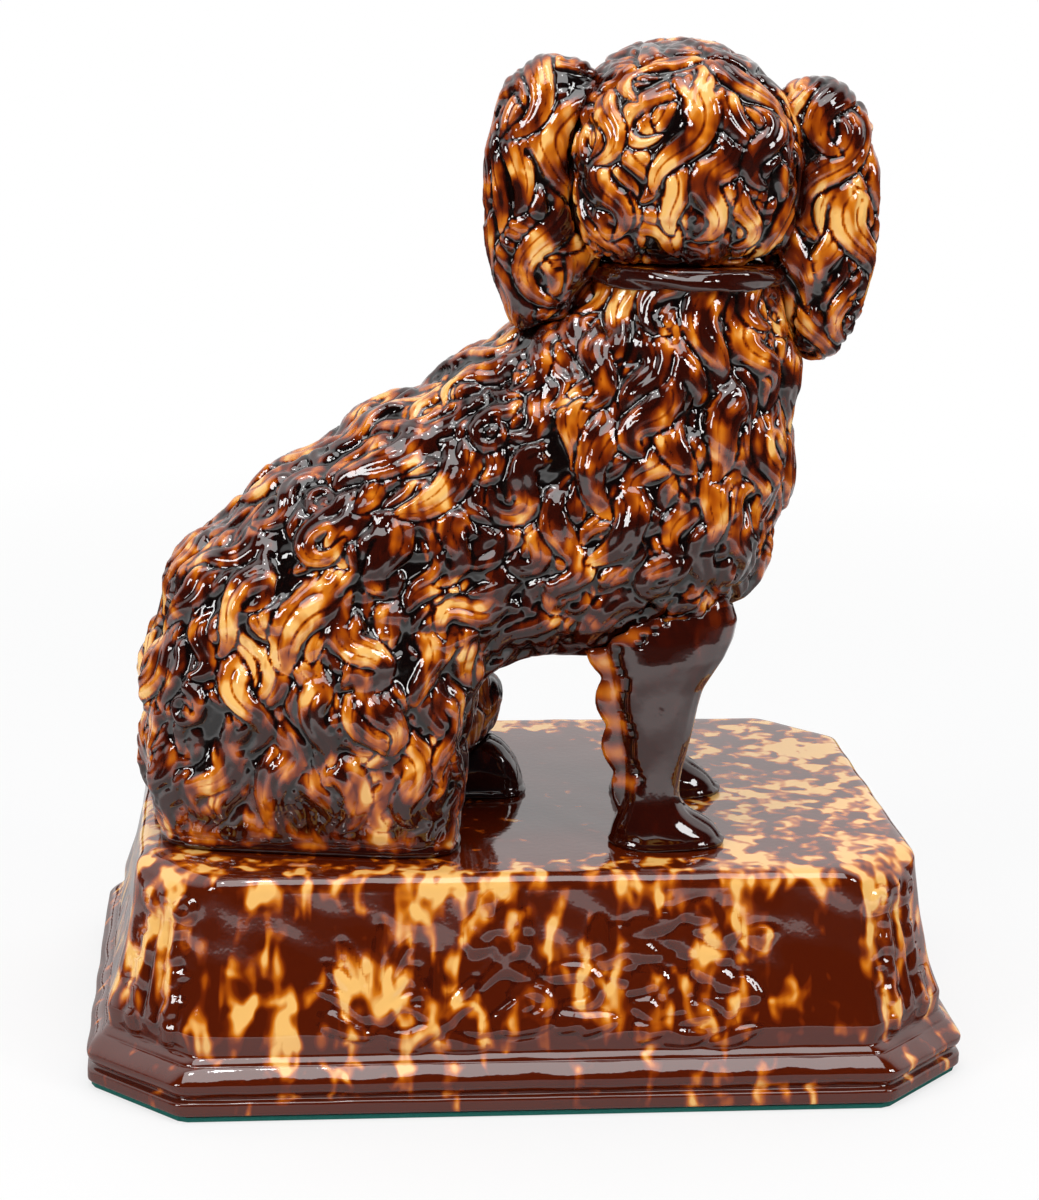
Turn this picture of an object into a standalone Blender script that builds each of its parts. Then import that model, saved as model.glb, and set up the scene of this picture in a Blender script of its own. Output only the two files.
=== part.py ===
"""A seated spaniel of moulded, brown-glazed earthenware on a plinth with canted corners.

Metres, +Z up. The origin is the middle of the felt's underside. The dog faces +X and its head is
turned to +Y. The body is pressed in two half moulds, the head in a back and a front mould, and the
ears, forelegs, hind paw and tail are pressed alone. The pieces are luted together with slip.
"""

import math
from collections import namedtuple

import bmesh
import bpy
from mathutils import Vector

# Walls and joints
WALL = 0.0055
HEAD_WALL = 0.0050
LUTE = 0.0003
SEAM = 0.0003
SLIP = 0.0005

# Felt under the plinth
FELT_THICKNESS = 0.0012
FELT_MARGIN = 0.0010

# Plinth
FOOT_LENGTH = 0.2250
FOOT_WIDTH = 0.1650
FOOT_CANT = 0.0233
TOP_CANT = 0.0190
ARRIS_RADIUS = 0.0014
PLINTH_HEIGHT = 0.0573
PLINTH_WALL = 0.0070
BAND_HEIGHT = 0.0038
BAND_NOSE = 0.0009
GROOVE_DEPTH = 0.0016
GROOVE_HEIGHT = 0.0011
TORUS_HEIGHT = 0.0072
TORUS_SETBACK = 0.0024
FILLET_DEPTH = 0.0036
FILLET_HEIGHT = 0.0030
WALL_SETBACK = 0.0126
WALL_FLARE = 2.6
SHOULDER_RADIUS = 0.0040
LEAF_PROUD = 0.0026
LEAF_CURL = 0.0016
VENT_RADIUS = 0.0060
VENT_X = -0.0560

# Where the dog sits on the plinth
MEDIAN_Y = -0.0230

# Body, with x from the plinth's middle and z from the plinth's top
SEAT_BACK_X = -0.0935
RUMP_X = -0.0988
HAUNCH_FRONT_X = -0.0176
BELLY_HEIGHT = 0.0470
WITHERS_HEIGHT = 0.1297
CHEST_X = 0.0685
BRISKET_HEIGHT = 0.0497
NECK_HEIGHT = 0.1477
NECK_BACK_X = 0.0150
NECK_FRONT_X = 0.0620
SEAT_HALF_WIDTH = 0.0298
HAUNCH_HALF_WIDTH = 0.0360
LOIN_HALF_WIDTH = 0.0320
CHEST_HALF_WIDTH = 0.0335
NECK_HALF_WIDTH = 0.0250
THIGH_X = -0.0400
THIGH_SWELL = 0.0022
SHOULDER_X = 0.0280
SHOULDER_SWELL = 0.0028
KNEE_HEIGHT = 0.0235
KNEE_REACH = 0.0150

# The coat's main locks
LOCK_PITCH = 0.0140
LOCK_ROW_PITCH = 0.0160
LOCK_HALF_LENGTH = 0.0115
LOCK_HALF_WIDTH = 0.0070
LOCK_PROUD = 0.0034
LOCK_CLOSEST = 0.0112
LOCK_ROUNDNESS = 0.75
LOCK_MEAN = 0.45
LOCK_SWEEP = 0.0040
COAT_BOTTOM = 0.0060
COAT_TOP = 0.1400
COAT_FADE = 0.0070

# Collar
COLLAR_HEIGHT = 0.0055
COLLAR_THICKNESS = 0.0034
COLLAR_WAVE = 0.0007

# Head, with y from the body's median plane
HEAD_X = 0.0358
HEAD_HALF_WIDTH = 0.0300
ROUNDEL_HALF_WIDTH = 0.0275
ROUNDEL_TOP = 0.1985
HEAD_TOP = 0.2020
ROUNDEL_BACK_Y = -0.0290
HEAD_SEAM_Y = -0.0160
BROW_Y = 0.0200
MUZZLE_LENGTH = 0.0200
MUZZLE_HALF_WIDTH = 0.0140
MUZZLE_TOP = 0.0290
HEAD_SQUARENESS = 3.6
EYE_SPACING = 0.0230
EYE_PROUD = 0.0026
NOSE_PROUD = 0.0016

# Ears
EAR_LENGTH = 0.0700
LEFT_EAR_TOP = 0.1975
RIGHT_EAR_TOP = 0.1930
LEFT_EAR_REACH = 0.0364
RIGHT_EAR_REACH = 0.0383
EAR_HALF_WIDTH = 0.0125
EAR_HALF_DEPTH = 0.0100
EAR_Y = -0.0060

# Legs, paws and tail
FORELEG_SPACING = 0.0430
LEFT_LEG_LEAD = 0.0060
LEG_HEIGHT = 0.0680
ANKLE_X = 0.0315
ANKLE_HALF_LENGTH = 0.0070
ANKLE_HALF_WIDTH = 0.0078
ELBOW_X = 0.0345
ELBOW_HALF_LENGTH = 0.0185
LEG_TOP_HALF_WIDTH = 0.0098
PAW_TOE_X = 0.0500
PAW_HEEL_X = 0.0205
PAW_HALF_WIDTH = 0.0094
PAW_HEIGHT = 0.0100
FEATHER_REACH = 0.0100
FEATHER_THICKNESS = 0.0036
FEATHER_LOBES = 4
HIND_PAW_TOE_X = 0.0028
HIND_PAW_HEIGHT = 0.0183
HIND_PAW_HALF_WIDTH = 0.0100
HIND_PAW_Y = 0.0250
TAIL_RADIUS = 0.0062
TAIL_TIP_RADIUS = 0.0028
TAIL_SINK = 0.0015
TAIL_ROOT_ANGLE = 165
TAIL_TIP_ANGLE = 75
TAIL_SQUARENESS = 3.2
TAIL_ROOT_SHARE = 0.45
TAIL_SWELL = 2.4
TAIL_HALF_HEIGHT = 1.05
TAIL_LIFT = 0.90

# Heights of the seats
PLINTH_FOOT_Z = FELT_THICKNESS + LUTE
PLINTH_TOP_Z = PLINTH_FOOT_Z + PLINTH_HEIGHT
SEAT_Z = PLINTH_TOP_Z + LUTE

# Points on each ring
HALF_RING = 24
INNER_HALF_RING = 8
CURVE_STEPS = 120
FULL_RING = 20
EAR_RING = 14
LEG_RING = 16
TAIL_RING = 12
TAIL_STEPS = 10
FEATHER_STEPS = 24
COLLAR_POINTS = 40
STATIONS_PER_SPAN = 2
BODY_STATIONS_PER_SPAN = 3

# Smaller shares and clearances
LEAF_EDGE = 0.45
FOOT_INSIDE_Z = 0.0150
FOOT_INSIDE_FLARE = 0.0035
COLLAR_SINK = 0.0015

Station = namedtuple("Station", "back_x back_z front_x front_z half_width flare square")
Swell = namedtuple("Swell", "side x y z radius push")
Lock = namedtuple("Lock", "centre along across")


def clear_scene():
    for old in list(bpy.data.objects):
        bpy.data.objects.remove(old, do_unlink=True)


def glaze(name, color, roughness=0.12):
    made = bpy.data.materials.new(name)
    made.use_nodes = True
    shader = made.node_tree.nodes["Principled BSDF"]
    shader.inputs["Base Color"].default_value = (*color, 1.0)
    shader.inputs["Roughness"].default_value = roughness
    shader.inputs["Metallic"].default_value = 0.0
    return made


def seated(x, y, z):
    """A point given from the plinth's middle, the median plane and the plinth's top."""
    return Vector((x, MEDIAN_Y + y, SEAT_Z + z))


def skin(name, rings, finish, closed_loop=False):
    """One closed body through rings that have equal numbers of points."""
    mesh = bpy.data.meshes.new(name)
    shape = bmesh.new()
    rows = [[shape.verts.new(point) for point in ring] for ring in rings]
    count = len(rows[0])
    pairs = list(zip(rows, rows[1:]))
    if closed_loop:
        pairs.append((rows[-1], rows[0]))
    else:
        shape.faces.new(reversed(rows[0]))
        shape.faces.new(rows[-1])
    for lower, upper in pairs:
        for i in range(count):
            j = (i + 1) % count
            shape.faces.new((lower[i], lower[j], upper[j]))
            shape.faces.new((lower[i], upper[j], upper[i]))
    bmesh.ops.remove_doubles(shape, verts=shape.verts, dist=0.000002)
    bmesh.ops.recalc_face_normals(shape, faces=shape.faces)
    if shape.calc_volume(signed=True) < 0:
        bmesh.ops.reverse_faces(shape, faces=shape.faces)
    shape.to_mesh(mesh)
    shape.free()
    mesh.shade_smooth()
    mesh.set_sharp_from_angle(angle=math.radians(40))
    mesh.materials.append(finish)
    made = bpy.data.objects.new(name, mesh)
    bpy.context.scene.collection.objects.link(made)
    return made


def cutter(name, rings, finish, closed_loop=False):
    made = skin(name, rings, finish, closed_loop)
    made.hide_render = True
    made.display_type = "WIRE"
    return made


def cut(piece, *tools):
    for tool in tools:
        step = piece.modifiers.new("Cut by " + tool.name, "BOOLEAN")
        step.operation = "DIFFERENCE"
        step.solver = "EXACT"
        step.object = tool


def smooth_rows(rows, per_span):
    """Rows of numbers with more rows set between them on a Catmull-Rom curve."""
    found = []
    last = len(rows) - 1
    for i in range(last):
        before, start, end, after = (rows[max(i - 1, 0)], rows[i], rows[i + 1], rows[min(i + 2, last)])
        for step in range(per_span):
            t = step / per_span
            row = []
            for a, b, c, d in zip(before, start, end, after):
                bend = 2 * a - 5 * b + 4 * c - d
                twist = 3 * b - a - 3 * c + d
                row.append(0.5 * (2 * b + (c - a) * t + bend * t * t + twist * t**3))
            found.append(row)
    found.append(list(rows[last]))
    return found


def power(value, exponent):
    return math.copysign(abs(value) ** exponent, value)


# Plinth


def canted_corner(sign_x, sign_y, half_x, half_y, cant, leaf):
    """Points round one canted corner, from the long side to the end. A leaf swells the canted face."""
    long_end = Vector((sign_x * (half_x - cant), sign_y * half_y, 0))
    short_end = Vector((sign_x * half_x, sign_y * (half_y - cant), 0))
    along_long = Vector((sign_x, 0, 0))
    along_short = Vector((0, sign_y, 0))
    outward = (along_long + along_short).normalized()
    slope = (short_end - long_end).normalized()
    middle = (long_end + short_end) / 2
    quarter = (short_end - long_end) / 4
    return [
        long_end - along_long * ARRIS_RADIUS,
        long_end + slope * ARRIS_RADIUS,
        middle - quarter + outward * leaf * LEAF_EDGE,
        middle + outward * leaf,
        middle + quarter + outward * leaf * LEAF_EDGE,
        short_end - slope * ARRIS_RADIUS,
        short_end - along_short * ARRIS_RADIUS,
    ]


def plinth_ring(inset, z, leaf=0.0):
    """The canted outline at height z above the foot, drawn in by inset."""
    half_x = FOOT_LENGTH / 2 - inset
    half_y = FOOT_WIDTH / 2 - inset
    cant = FOOT_CANT + (TOP_CANT - FOOT_CANT) * z / PLINTH_HEIGHT
    ring = []
    for sign_x, sign_y in ((1, -1), (1, 1), (-1, 1), (-1, -1)):
        run = canted_corner(sign_x, sign_y, half_x, half_y, cant, leaf)
        ring += run if sign_x * sign_y < 0 else run[::-1]
    return [Vector((point.x, point.y, PLINTH_FOOT_Z + z)) for point in ring]


def foot_profile():
    """(inset, z) up the foot: a band with a rounded nose, a groove, a torus and a fillet."""
    band_top = BAND_HEIGHT
    torus_bottom = band_top + GROOVE_HEIGHT
    torus_top = torus_bottom + TORUS_HEIGHT
    profile = [
        (BAND_NOSE, 0.0),
        (0.0, BAND_NOSE),
        (0.0, band_top - BAND_NOSE),
        (BAND_NOSE, band_top),
        (GROOVE_DEPTH, band_top + GROOVE_HEIGHT / 2),
    ]
    for step in range(6):
        angle = math.radians(-50 + 140 * step / 5)
        out = TORUS_SETBACK * math.cos(angle)
        height = torus_bottom + TORUS_HEIGHT * (math.sin(angle) + 0.77) / 1.77
        profile.append((TORUS_SETBACK - out, height))
    profile.append((FILLET_DEPTH, torus_top + FILLET_HEIGHT * 0.25))
    profile.append((FILLET_DEPTH, torus_top + FILLET_HEIGHT))
    return profile


def wall_profile():
    """(inset, z) up the battered wall, which flares out to the fillet, and over the rounded shoulder."""
    bottom = BAND_HEIGHT + GROOVE_HEIGHT + TORUS_HEIGHT + FILLET_HEIGHT
    top = PLINTH_HEIGHT - SHOULDER_RADIUS
    profile = []
    for step in range(1, 9):
        share = step / 8
        rise = share**1.5
        flared = 1 - (1 - rise) ** WALL_FLARE
        inset = FILLET_DEPTH + (WALL_SETBACK - FILLET_DEPTH) * (flared + rise) / 2
        profile.append((inset, bottom + (top - bottom) * rise))
    for step in range(1, 5):
        angle = math.radians(90 * step / 4)
        profile.append(
            (WALL_SETBACK + SHOULDER_RADIUS * (1 - math.cos(angle)), top + SHOULDER_RADIUS * math.sin(angle))
        )
    return profile


def leaf_swell(z):
    """How far a corner's leaf stands out at height z: a long blade that curls over at its tip."""
    bottom = BAND_HEIGHT + GROOVE_HEIGHT + TORUS_HEIGHT + FILLET_HEIGHT
    share = (z - bottom) / (PLINTH_HEIGHT - SHOULDER_RADIUS / 2 - bottom)
    if share <= 0 or share >= 1:
        return 0.0
    blade = LEAF_PROUD * math.sin(math.pi * share) ** 0.5
    curl = LEAF_CURL * math.exp(-(((share - 0.88) / 0.09) ** 2))
    return blade * (0.6 + 0.4 * share) + curl


def make_plinth(finish):
    """A press-moulded shell, open below, with a vent through its top into the dog."""
    ceiling = PLINTH_HEIGHT - PLINTH_WALL
    rings = []
    top_inset = WALL_SETBACK + SHOULDER_RADIUS
    rings.append(vent_ring(ceiling))
    rings.append(plinth_ring(top_inset + PLINTH_WALL * 0.6, ceiling))
    rings.append(plinth_ring(WALL_SETBACK + PLINTH_WALL, ceiling - PLINTH_WALL * 0.6))
    rings.append(plinth_ring(FILLET_DEPTH + PLINTH_WALL + FOOT_INSIDE_FLARE, FOOT_INSIDE_Z))
    rings.append(plinth_ring(FILLET_DEPTH + PLINTH_WALL, 0.0))
    for inset, z in foot_profile():
        rings.append(plinth_ring(inset, z))
    for inset, z in wall_profile():
        rings.append(plinth_ring(inset, z, leaf_swell(z)))
    rings.append(vent_ring(PLINTH_HEIGHT))
    return skin("plinth", rings, finish, closed_loop=True)


def vent_ring(z):
    """The vent under the dog, with its points in the order of the plinth's own."""
    outline = plinth_ring(WALL_SETBACK + SHOULDER_RADIUS, z)
    centre = Vector((VENT_X, MEDIAN_Y, 0))
    ring = []
    for point in outline:
        angle = math.atan2(point.y - centre.y, point.x - centre.x)
        ring.append(centre + Vector((VENT_RADIUS * math.cos(angle), VENT_RADIUS * math.sin(angle), point.z)))
    return ring


def make_felt(finish):
    rings = []
    for z in (-PLINTH_FOOT_Z, -LUTE):
        ring = plinth_ring(FELT_MARGIN, 0.0)
        rings.append([Vector((point.x, point.y, point.z + z)) for point in ring])
    return skin("felt_pad", rings, finish)


# Body


def body_stations():
    """The body's sections, from the seat up over the haunch and loin to the neck."""
    rump = RUMP_X
    front = HAUNCH_FRONT_X
    belly = BELLY_HEIGHT
    brisket = BRISKET_HEIGHT
    nape = NECK_BACK_X
    neck = NECK_HEIGHT
    chest = CHEST_X
    seat_width = SEAT_HALF_WIDTH
    haunch_width = HAUNCH_HALF_WIDTH
    loin_width = LOIN_HALF_WIDTH
    ribs = CHEST_HALF_WIDTH
    neck_width = NECK_HALF_WIDTH
    rows = [
        Station(SEAT_BACK_X, 0.0, front, 0.0, seat_width, 0.20, 6.0),
        Station(rump + 0.0010, 0.0130, front + 0.0008, 0.0125, seat_width + 0.0030, 0.17, 5.0),
        Station(rump, 0.0310, front + 0.0010, belly - 0.0200, haunch_width - 0.0010, 0.14, 4.2),
        Station(rump + 0.0015, 0.0480, front + 0.0024, belly - 0.0110, haunch_width, 0.10, 3.6),
        Station(rump + 0.0065, 0.0645, front + 0.0056, belly - 0.0050, haunch_width, 0.05, 3.1),
        Station(rump + 0.0198, 0.0812, front + 0.0116, belly - 0.0016, haunch_width - 0.0012, 0.0, 2.8),
        Station(rump + 0.0418, 0.0975, front + 0.0196, belly, loin_width + 0.0012, 0.0, 2.6),
        Station(rump + 0.0638, 0.1118, front + 0.0276, belly, loin_width, 0.0, 2.5),
        Station(nape - 0.0310, WITHERS_HEIGHT - 0.0072, nape + 0.0040, belly, loin_width, 0.02, 2.4),
        Station(nape - 0.0190, WITHERS_HEIGHT, nape + 0.0190, brisket, ribs - 0.0005, 0.05, 2.4),
        Station(nape - 0.0110, neck - 0.0135, chest - 0.0175, brisket + 0.0070, ribs, 0.08, 2.4),
        Station(nape - 0.0065, neck - 0.0100, chest - 0.0065, brisket + 0.0230, ribs - 0.0010, 0.10, 2.3),
        Station(nape - 0.0035, neck - 0.0070, chest - 0.0020, brisket + 0.0420, ribs - 0.0030, 0.08, 2.3),
        Station(nape - 0.0015, neck - 0.0045, chest, brisket + 0.0610, neck_width + 0.0035, 0.06, 2.2),
        Station(nape - 0.0005, neck - 0.0020, chest - 0.0010, neck - 0.0210, neck_width + 0.0015, 0.03, 2.2),
        Station(nape, neck, NECK_FRONT_X, neck, neck_width, 0.0, 2.1),
    ]
    return [Station(*row) for row in smooth_rows(rows, BODY_STATIONS_PER_SPAN)]


def swells():
    """Muscles that stand out from the plain sections. Side -1 is the dog's right, 1 its left."""
    found = []
    for side in (-1, 1):
        thigh = Swell(side, THIGH_X, HAUNCH_HALF_WIDTH, 0.0300, 0.0270, (0.0, THIGH_SWELL, 0.0))
        shoulder = Swell(side, SHOULDER_X, CHEST_HALF_WIDTH, 0.0650, 0.0260, (0.0, SHOULDER_SWELL, 0.0))
        found += [thigh, shoulder]
    knee_y = SEAT_HALF_WIDTH - 0.0050
    found.append(Swell(1, HAUNCH_FRONT_X + 0.0020, knee_y, KNEE_HEIGHT, 0.0135, (KNEE_REACH, 0.0, 0.0)))
    return found


def swollen(point, side):
    moved = Vector(point)
    for swell in swells():
        if swell.side != side:
            continue
        away = (point - Vector((swell.x, side * swell.y, swell.z))).length / swell.radius
        push = Vector((swell.push[0], side * swell.push[1], swell.push[2]))
        moved += push * math.exp(-(away**3))
    return moved


def section_curve(station, side, inset):
    """(point, way out) closely along one side of a plain section, from its front to its back."""
    front = Vector((station.front_x, 0, station.front_z))
    back = Vector((station.back_x, 0, station.back_z))
    centre = (front + back) / 2
    axis = (front - back).normalized()
    half_length = (front - back).length / 2 - inset
    half_width = station.half_width - inset
    exponent = 2 / station.square
    curve = []
    for i in range(CURVE_STEPS + 1):
        angle = math.pi * i / CURVE_STEPS
        cosine = math.cos(angle)
        sine = math.sin(angle) if 0 < i < CURVE_STEPS else 0.0
        along = power(cosine, exponent)
        across = sine**exponent * (1 + station.flare * along)
        point = centre + axis * half_length * along
        point.y = side * half_width * across
        outward = axis * power(cosine, 2 - exponent) / half_length
        outward.y = side * sine ** (2 - exponent) / half_width
        curve.append((point, outward.normalized()))
    return curve


def section_arc(station, side, points, inset=0.0):
    """(point, way out) evenly spaced along one side of a plain section drawn in by inset."""
    curve = section_curve(station, side, inset)
    gone = [0.0]
    for before, after in zip(curve, curve[1:]):
        gone.append(gone[-1] + (after[0] - before[0]).length)
    arc = []
    step = 0
    for i in range(points + 1):
        goal = gone[-1] * i / points
        while step < CURVE_STEPS - 1 and gone[step + 1] < goal:
            step += 1
        share = (goal - gone[step]) / (gone[step + 1] - gone[step])
        point = curve[step][0].lerp(curve[step + 1][0], share)
        outward = curve[step][1].lerp(curve[step + 1][1], share)
        arc.append((point, outward.normalized()))
    return arc


def coat_arc(station, side, locks, grow=0.0):
    """The outside of one side of a section, with its muscles and its locks, and grown by a clearance."""
    arc = []
    for point, outward in section_arc(station, side, HALF_RING):
        surface = swollen(point, side)
        arc.append(surface + outward * (coat_relief(surface, locks) + grow))
    return arc


def coat_locks(side):
    """The coat's main locks in staggered rows. They lie down the body and lean towards the ground."""
    arcs = []
    for station in body_stations():
        arcs.append([point for point, outward in section_arc(station, side, HALF_RING)])
    middle = HALF_RING // 2
    found = []
    gone = 0.0
    row = 0
    for i in range(1, len(arcs) - 1):
        gone += (arcs[i][middle] - arcs[i - 1][middle]).length
        if gone < LOCK_ROW_PITCH:
            continue
        gone = 0.0
        row += 1
        passed = LOCK_PITCH / 2 if row % 2 else 0.0
        for j in range(HALF_RING + 1):
            if j:
                passed += (arcs[i][j] - arcs[i][j - 1]).length
            at_seam = j in (0, HALF_RING) and row % 2 == 0
            if passed < LOCK_PITCH and not at_seam:
                continue
            centre = swollen(arcs[i][j], side)
            if any((centre - lock.centre).length < LOCK_CLOSEST for lock in found):
                continue
            passed = 0.0
            down = (arcs[i - 1][j] - arcs[i + 1][j]).normalized() + Vector((0, 0, -1))
            round_arc = arcs[i][min(j + 1, HALF_RING)] - arcs[i][max(j - 1, 0)]
            outward = down.cross(round_arc).normalized()
            along = (down - outward * down.dot(outward)).normalized()
            found.append(Lock(centre, along, outward.cross(along)))
    return found


def coat_relief(point, locks):
    """How far the nearest locks raise the coat above its mean surface, or the creases sink below it.

    Each lock is bent to one side like a comma, and the next lock to the other side.
    """
    crest = 0.0
    for number, lock in enumerate(locks):
        away = point - lock.centre
        if away.length > LOCK_HALF_LENGTH + LOCK_SWEEP:
            continue
        a = away.dot(lock.along) / LOCK_HALF_LENGTH
        sweep = LOCK_SWEEP * (1 - 2 * (number % 2)) * (a * a - 0.3)
        b = (away.dot(lock.across) - sweep) / LOCK_HALF_WIDTH
        crest = max(crest, 1 - a * a - b * b)
    rise = min(1.0, max(0.0, (point.z - COAT_BOTTOM) / COAT_FADE))
    fall = min(1.0, max(0.0, (COAT_TOP - point.z) / COAT_FADE))
    return LOCK_PROUD * (crest**LOCK_ROUNDNESS - LOCK_MEAN) * rise * fall


def make_body_half(name, side, finish):
    """A half shell. Its sections are C-shaped, and its seam runs along the median plane."""
    locks = coat_locks(side)
    rings = []
    for station in body_stations():
        outer = coat_arc(station, side, locks)
        inner = [point for point, outward in section_arc(station, side, INNER_HALF_RING, WALL)]
        ring = outer + inner[::-1]
        if side < 0:
            ring.reverse()
        for point in ring:
            point.y = side * max(side * point.y, SEAM / 2)
        rings.append([seated(*point) for point in ring])
    return skin(name, rings, finish)


def body_cutter(finish):
    """The body's outer form with clearance, run on below the seat."""
    left_locks = coat_locks(1)
    right_locks = coat_locks(-1)
    rings = []
    for station in body_stations():
        left = coat_arc(station, 1, left_locks, SLIP)
        right = coat_arc(station, -1, right_locks, SLIP)
        rings.append([seated(*point) for point in left + right[-2:0:-1]])
    lowest = [Vector((point.x, point.y, point.z - 0.004)) for point in rings[0]]
    return cutter("body clearance", [lowest] + rings, finish)


# Collar


def collar_rings(grow):
    """A smooth band pressed round the neck under the head, with a waved lower edge."""
    top = body_stations()[-1]
    half_length = (top.front_x - top.back_x) / 2
    middle_x = (top.front_x + top.back_x) / 2
    inside = -COLLAR_SINK - grow
    outside = COLLAR_THICKNESS + grow
    bottom = -COLLAR_HEIGHT - grow
    profile = (
        (inside, bottom),
        (inside, grow),
        (outside * 0.7, grow - 0.0002),
        (outside, bottom * 0.45),
        (outside * 0.8, bottom * 0.88),
    )
    rings = []
    for i in range(COLLAR_POINTS):
        angle = 2 * math.pi * i / COLLAR_POINTS
        wave = COLLAR_WAVE * math.sin(5 * angle)
        ring = []
        for reach, down in profile:
            x = middle_x + (half_length + reach) * math.cos(angle)
            y = (NECK_HALF_WIDTH + reach) * math.sin(angle)
            ring.append(seated(x, y, NECK_HEIGHT - LUTE + down - wave * down / bottom))
        rings.append(ring)
    return rings


# Head


def head_ring(y, half_width, bottom, top, inset, floor):
    """A section of the head: round above and squarer below, where it sits on the neck."""
    middle = (top + bottom) / 2
    half_height = (top - bottom) / 2 - inset
    ring = []
    for i in range(FULL_RING):
        angle = 2 * math.pi * i / FULL_RING
        exponent = 1.0 if math.sin(angle) > 0 else 2 / HEAD_SQUARENESS
        x = HEAD_X + (half_width - inset) * power(math.cos(angle), exponent)
        z = max(middle + half_height * power(math.sin(angle), exponent), floor)
        ring.append(seated(x, y, z))
    return ring


def back_rows():
    """(y, half width, bottom, top) of the round cushion of hair behind the head."""
    deep = HEAD_SEAM_Y - ROUNDEL_BACK_Y
    middle = (ROUNDEL_TOP + NECK_HEIGHT) / 2
    half_height = (ROUNDEL_TOP - NECK_HEIGHT) / 2
    rows = []
    for step in range(6):
        angle = math.radians(12 + 78 * step / 5)
        out = math.sin(angle) ** 0.85
        y = HEAD_SEAM_Y - deep * math.cos(angle)
        rows.append((y, ROUNDEL_HALF_WIDTH * out, middle - half_height * out, middle + half_height * out))
    return rows


def front_rows():
    """(y, half width, bottom, top) of the crown, brow, stop and muzzle."""
    floor = NECK_HEIGHT
    muzzle_top = floor + MUZZLE_TOP
    stop_y = BROW_Y + 0.0045
    tip_y = BROW_Y + MUZZLE_LENGTH
    return [
        (HEAD_SEAM_Y, HEAD_HALF_WIDTH - 0.0015, floor - 0.0010, HEAD_TOP - 0.0025),
        (HEAD_SEAM_Y + 0.0080, HEAD_HALF_WIDTH, floor - 0.0030, HEAD_TOP - 0.0006),
        (0.0020, HEAD_HALF_WIDTH, floor - 0.0035, HEAD_TOP),
        (0.0110, HEAD_HALF_WIDTH - 0.0010, floor - 0.0025, HEAD_TOP - 0.0015),
        (BROW_Y - 0.0030, HEAD_HALF_WIDTH - 0.0030, floor - 0.0005, HEAD_TOP - 0.0050),
        (BROW_Y + 0.0015, HEAD_HALF_WIDTH - 0.0075, floor + 0.0005, HEAD_TOP - 0.0115),
        (stop_y, MUZZLE_HALF_WIDTH + 0.0035, floor + 0.0015, muzzle_top + 0.0040),
        (stop_y + 0.0045, MUZZLE_HALF_WIDTH + 0.0008, floor + 0.0025, muzzle_top + 0.0005),
        (stop_y + 0.0095, MUZZLE_HALF_WIDTH, floor + 0.0030, muzzle_top),
        (tip_y - 0.0020, MUZZLE_HALF_WIDTH - 0.0014, floor + 0.0045, muzzle_top - 0.0008),
        (tip_y, MUZZLE_HALF_WIDTH - 0.0050, floor + 0.0080, muzzle_top - 0.0036),
    ]


def face_swells():
    """(centre, radius, how far it stands out) of the eyes, with their lids, and of the nose."""
    eye_z = NECK_HEIGHT + 0.0350
    found = []
    for side in (-1, 1):
        found.append((Vector((HEAD_X + side * EYE_SPACING / 2, BROW_Y + 0.0020, eye_z)), 0.0050, EYE_PROUD))
    tip = Vector((HEAD_X, BROW_Y + MUZZLE_LENGTH, NECK_HEIGHT + MUZZLE_TOP - 0.0060))
    found.append((tip, 0.0050, NOSE_PROUD))
    return found


def make_head_back(finish):
    floor = NECK_HEIGHT + LUTE
    deep = HEAD_SEAM_Y - ROUNDEL_BACK_Y
    rings = []
    for y, half_width, bottom, top in back_rows():
        inner_y = HEAD_SEAM_Y - (HEAD_SEAM_Y - y) * (deep - HEAD_WALL) / deep
        inset = min(HEAD_WALL, half_width * 0.8)
        rings.append(head_ring(inner_y, half_width, bottom, top, inset, floor + HEAD_WALL))
    for y, half_width, bottom, top in reversed(back_rows()):
        rings.append(head_ring(y, half_width, bottom, top, 0.0, floor))
    return skin("head_back", rings, finish)


def front_ring(row, inset, floor):
    y, half_width, bottom, top = row
    ring = head_ring(y, half_width, bottom, top, inset, floor)
    if inset > 0:
        return ring
    for point in ring:
        for centre, radius, proud in face_swells():
            away = (point - seated(*centre)).length / radius
            point.y += proud * math.exp(-away * away)
    return ring


def make_head_front(finish):
    """The crown, cheeks and muzzle. The hollow ends behind the brow."""
    floor = NECK_HEIGHT + LUTE
    rows = [list(row) for row in front_rows()]
    rows[0][0] += SEAM
    rows = smooth_rows(rows, STATIONS_PER_SPAN)
    hollow = [row for row in rows if row[0] < BROW_Y - HEAD_WALL]
    rings = [front_ring(row, HEAD_WALL, floor + HEAD_WALL) for row in reversed(hollow)]
    rings += [front_ring(row, 0.0, floor) for row in rows]
    return skin("head_front", rings, finish)


def head_cutter(finish):
    """The whole head with clearance, for what is luted to its sides."""
    floor = NECK_HEIGHT + LUTE
    rows = back_rows()[:-1] + [row for row in front_rows() if row[0] < BROW_Y + 0.0070]
    rings = []
    for y, half_width, bottom, top in rows:
        rings.append(head_ring(y, half_width, bottom, top, -SLIP, floor - LUTE))
    return cutter("head clearance", rings, finish)


# Ears


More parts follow.
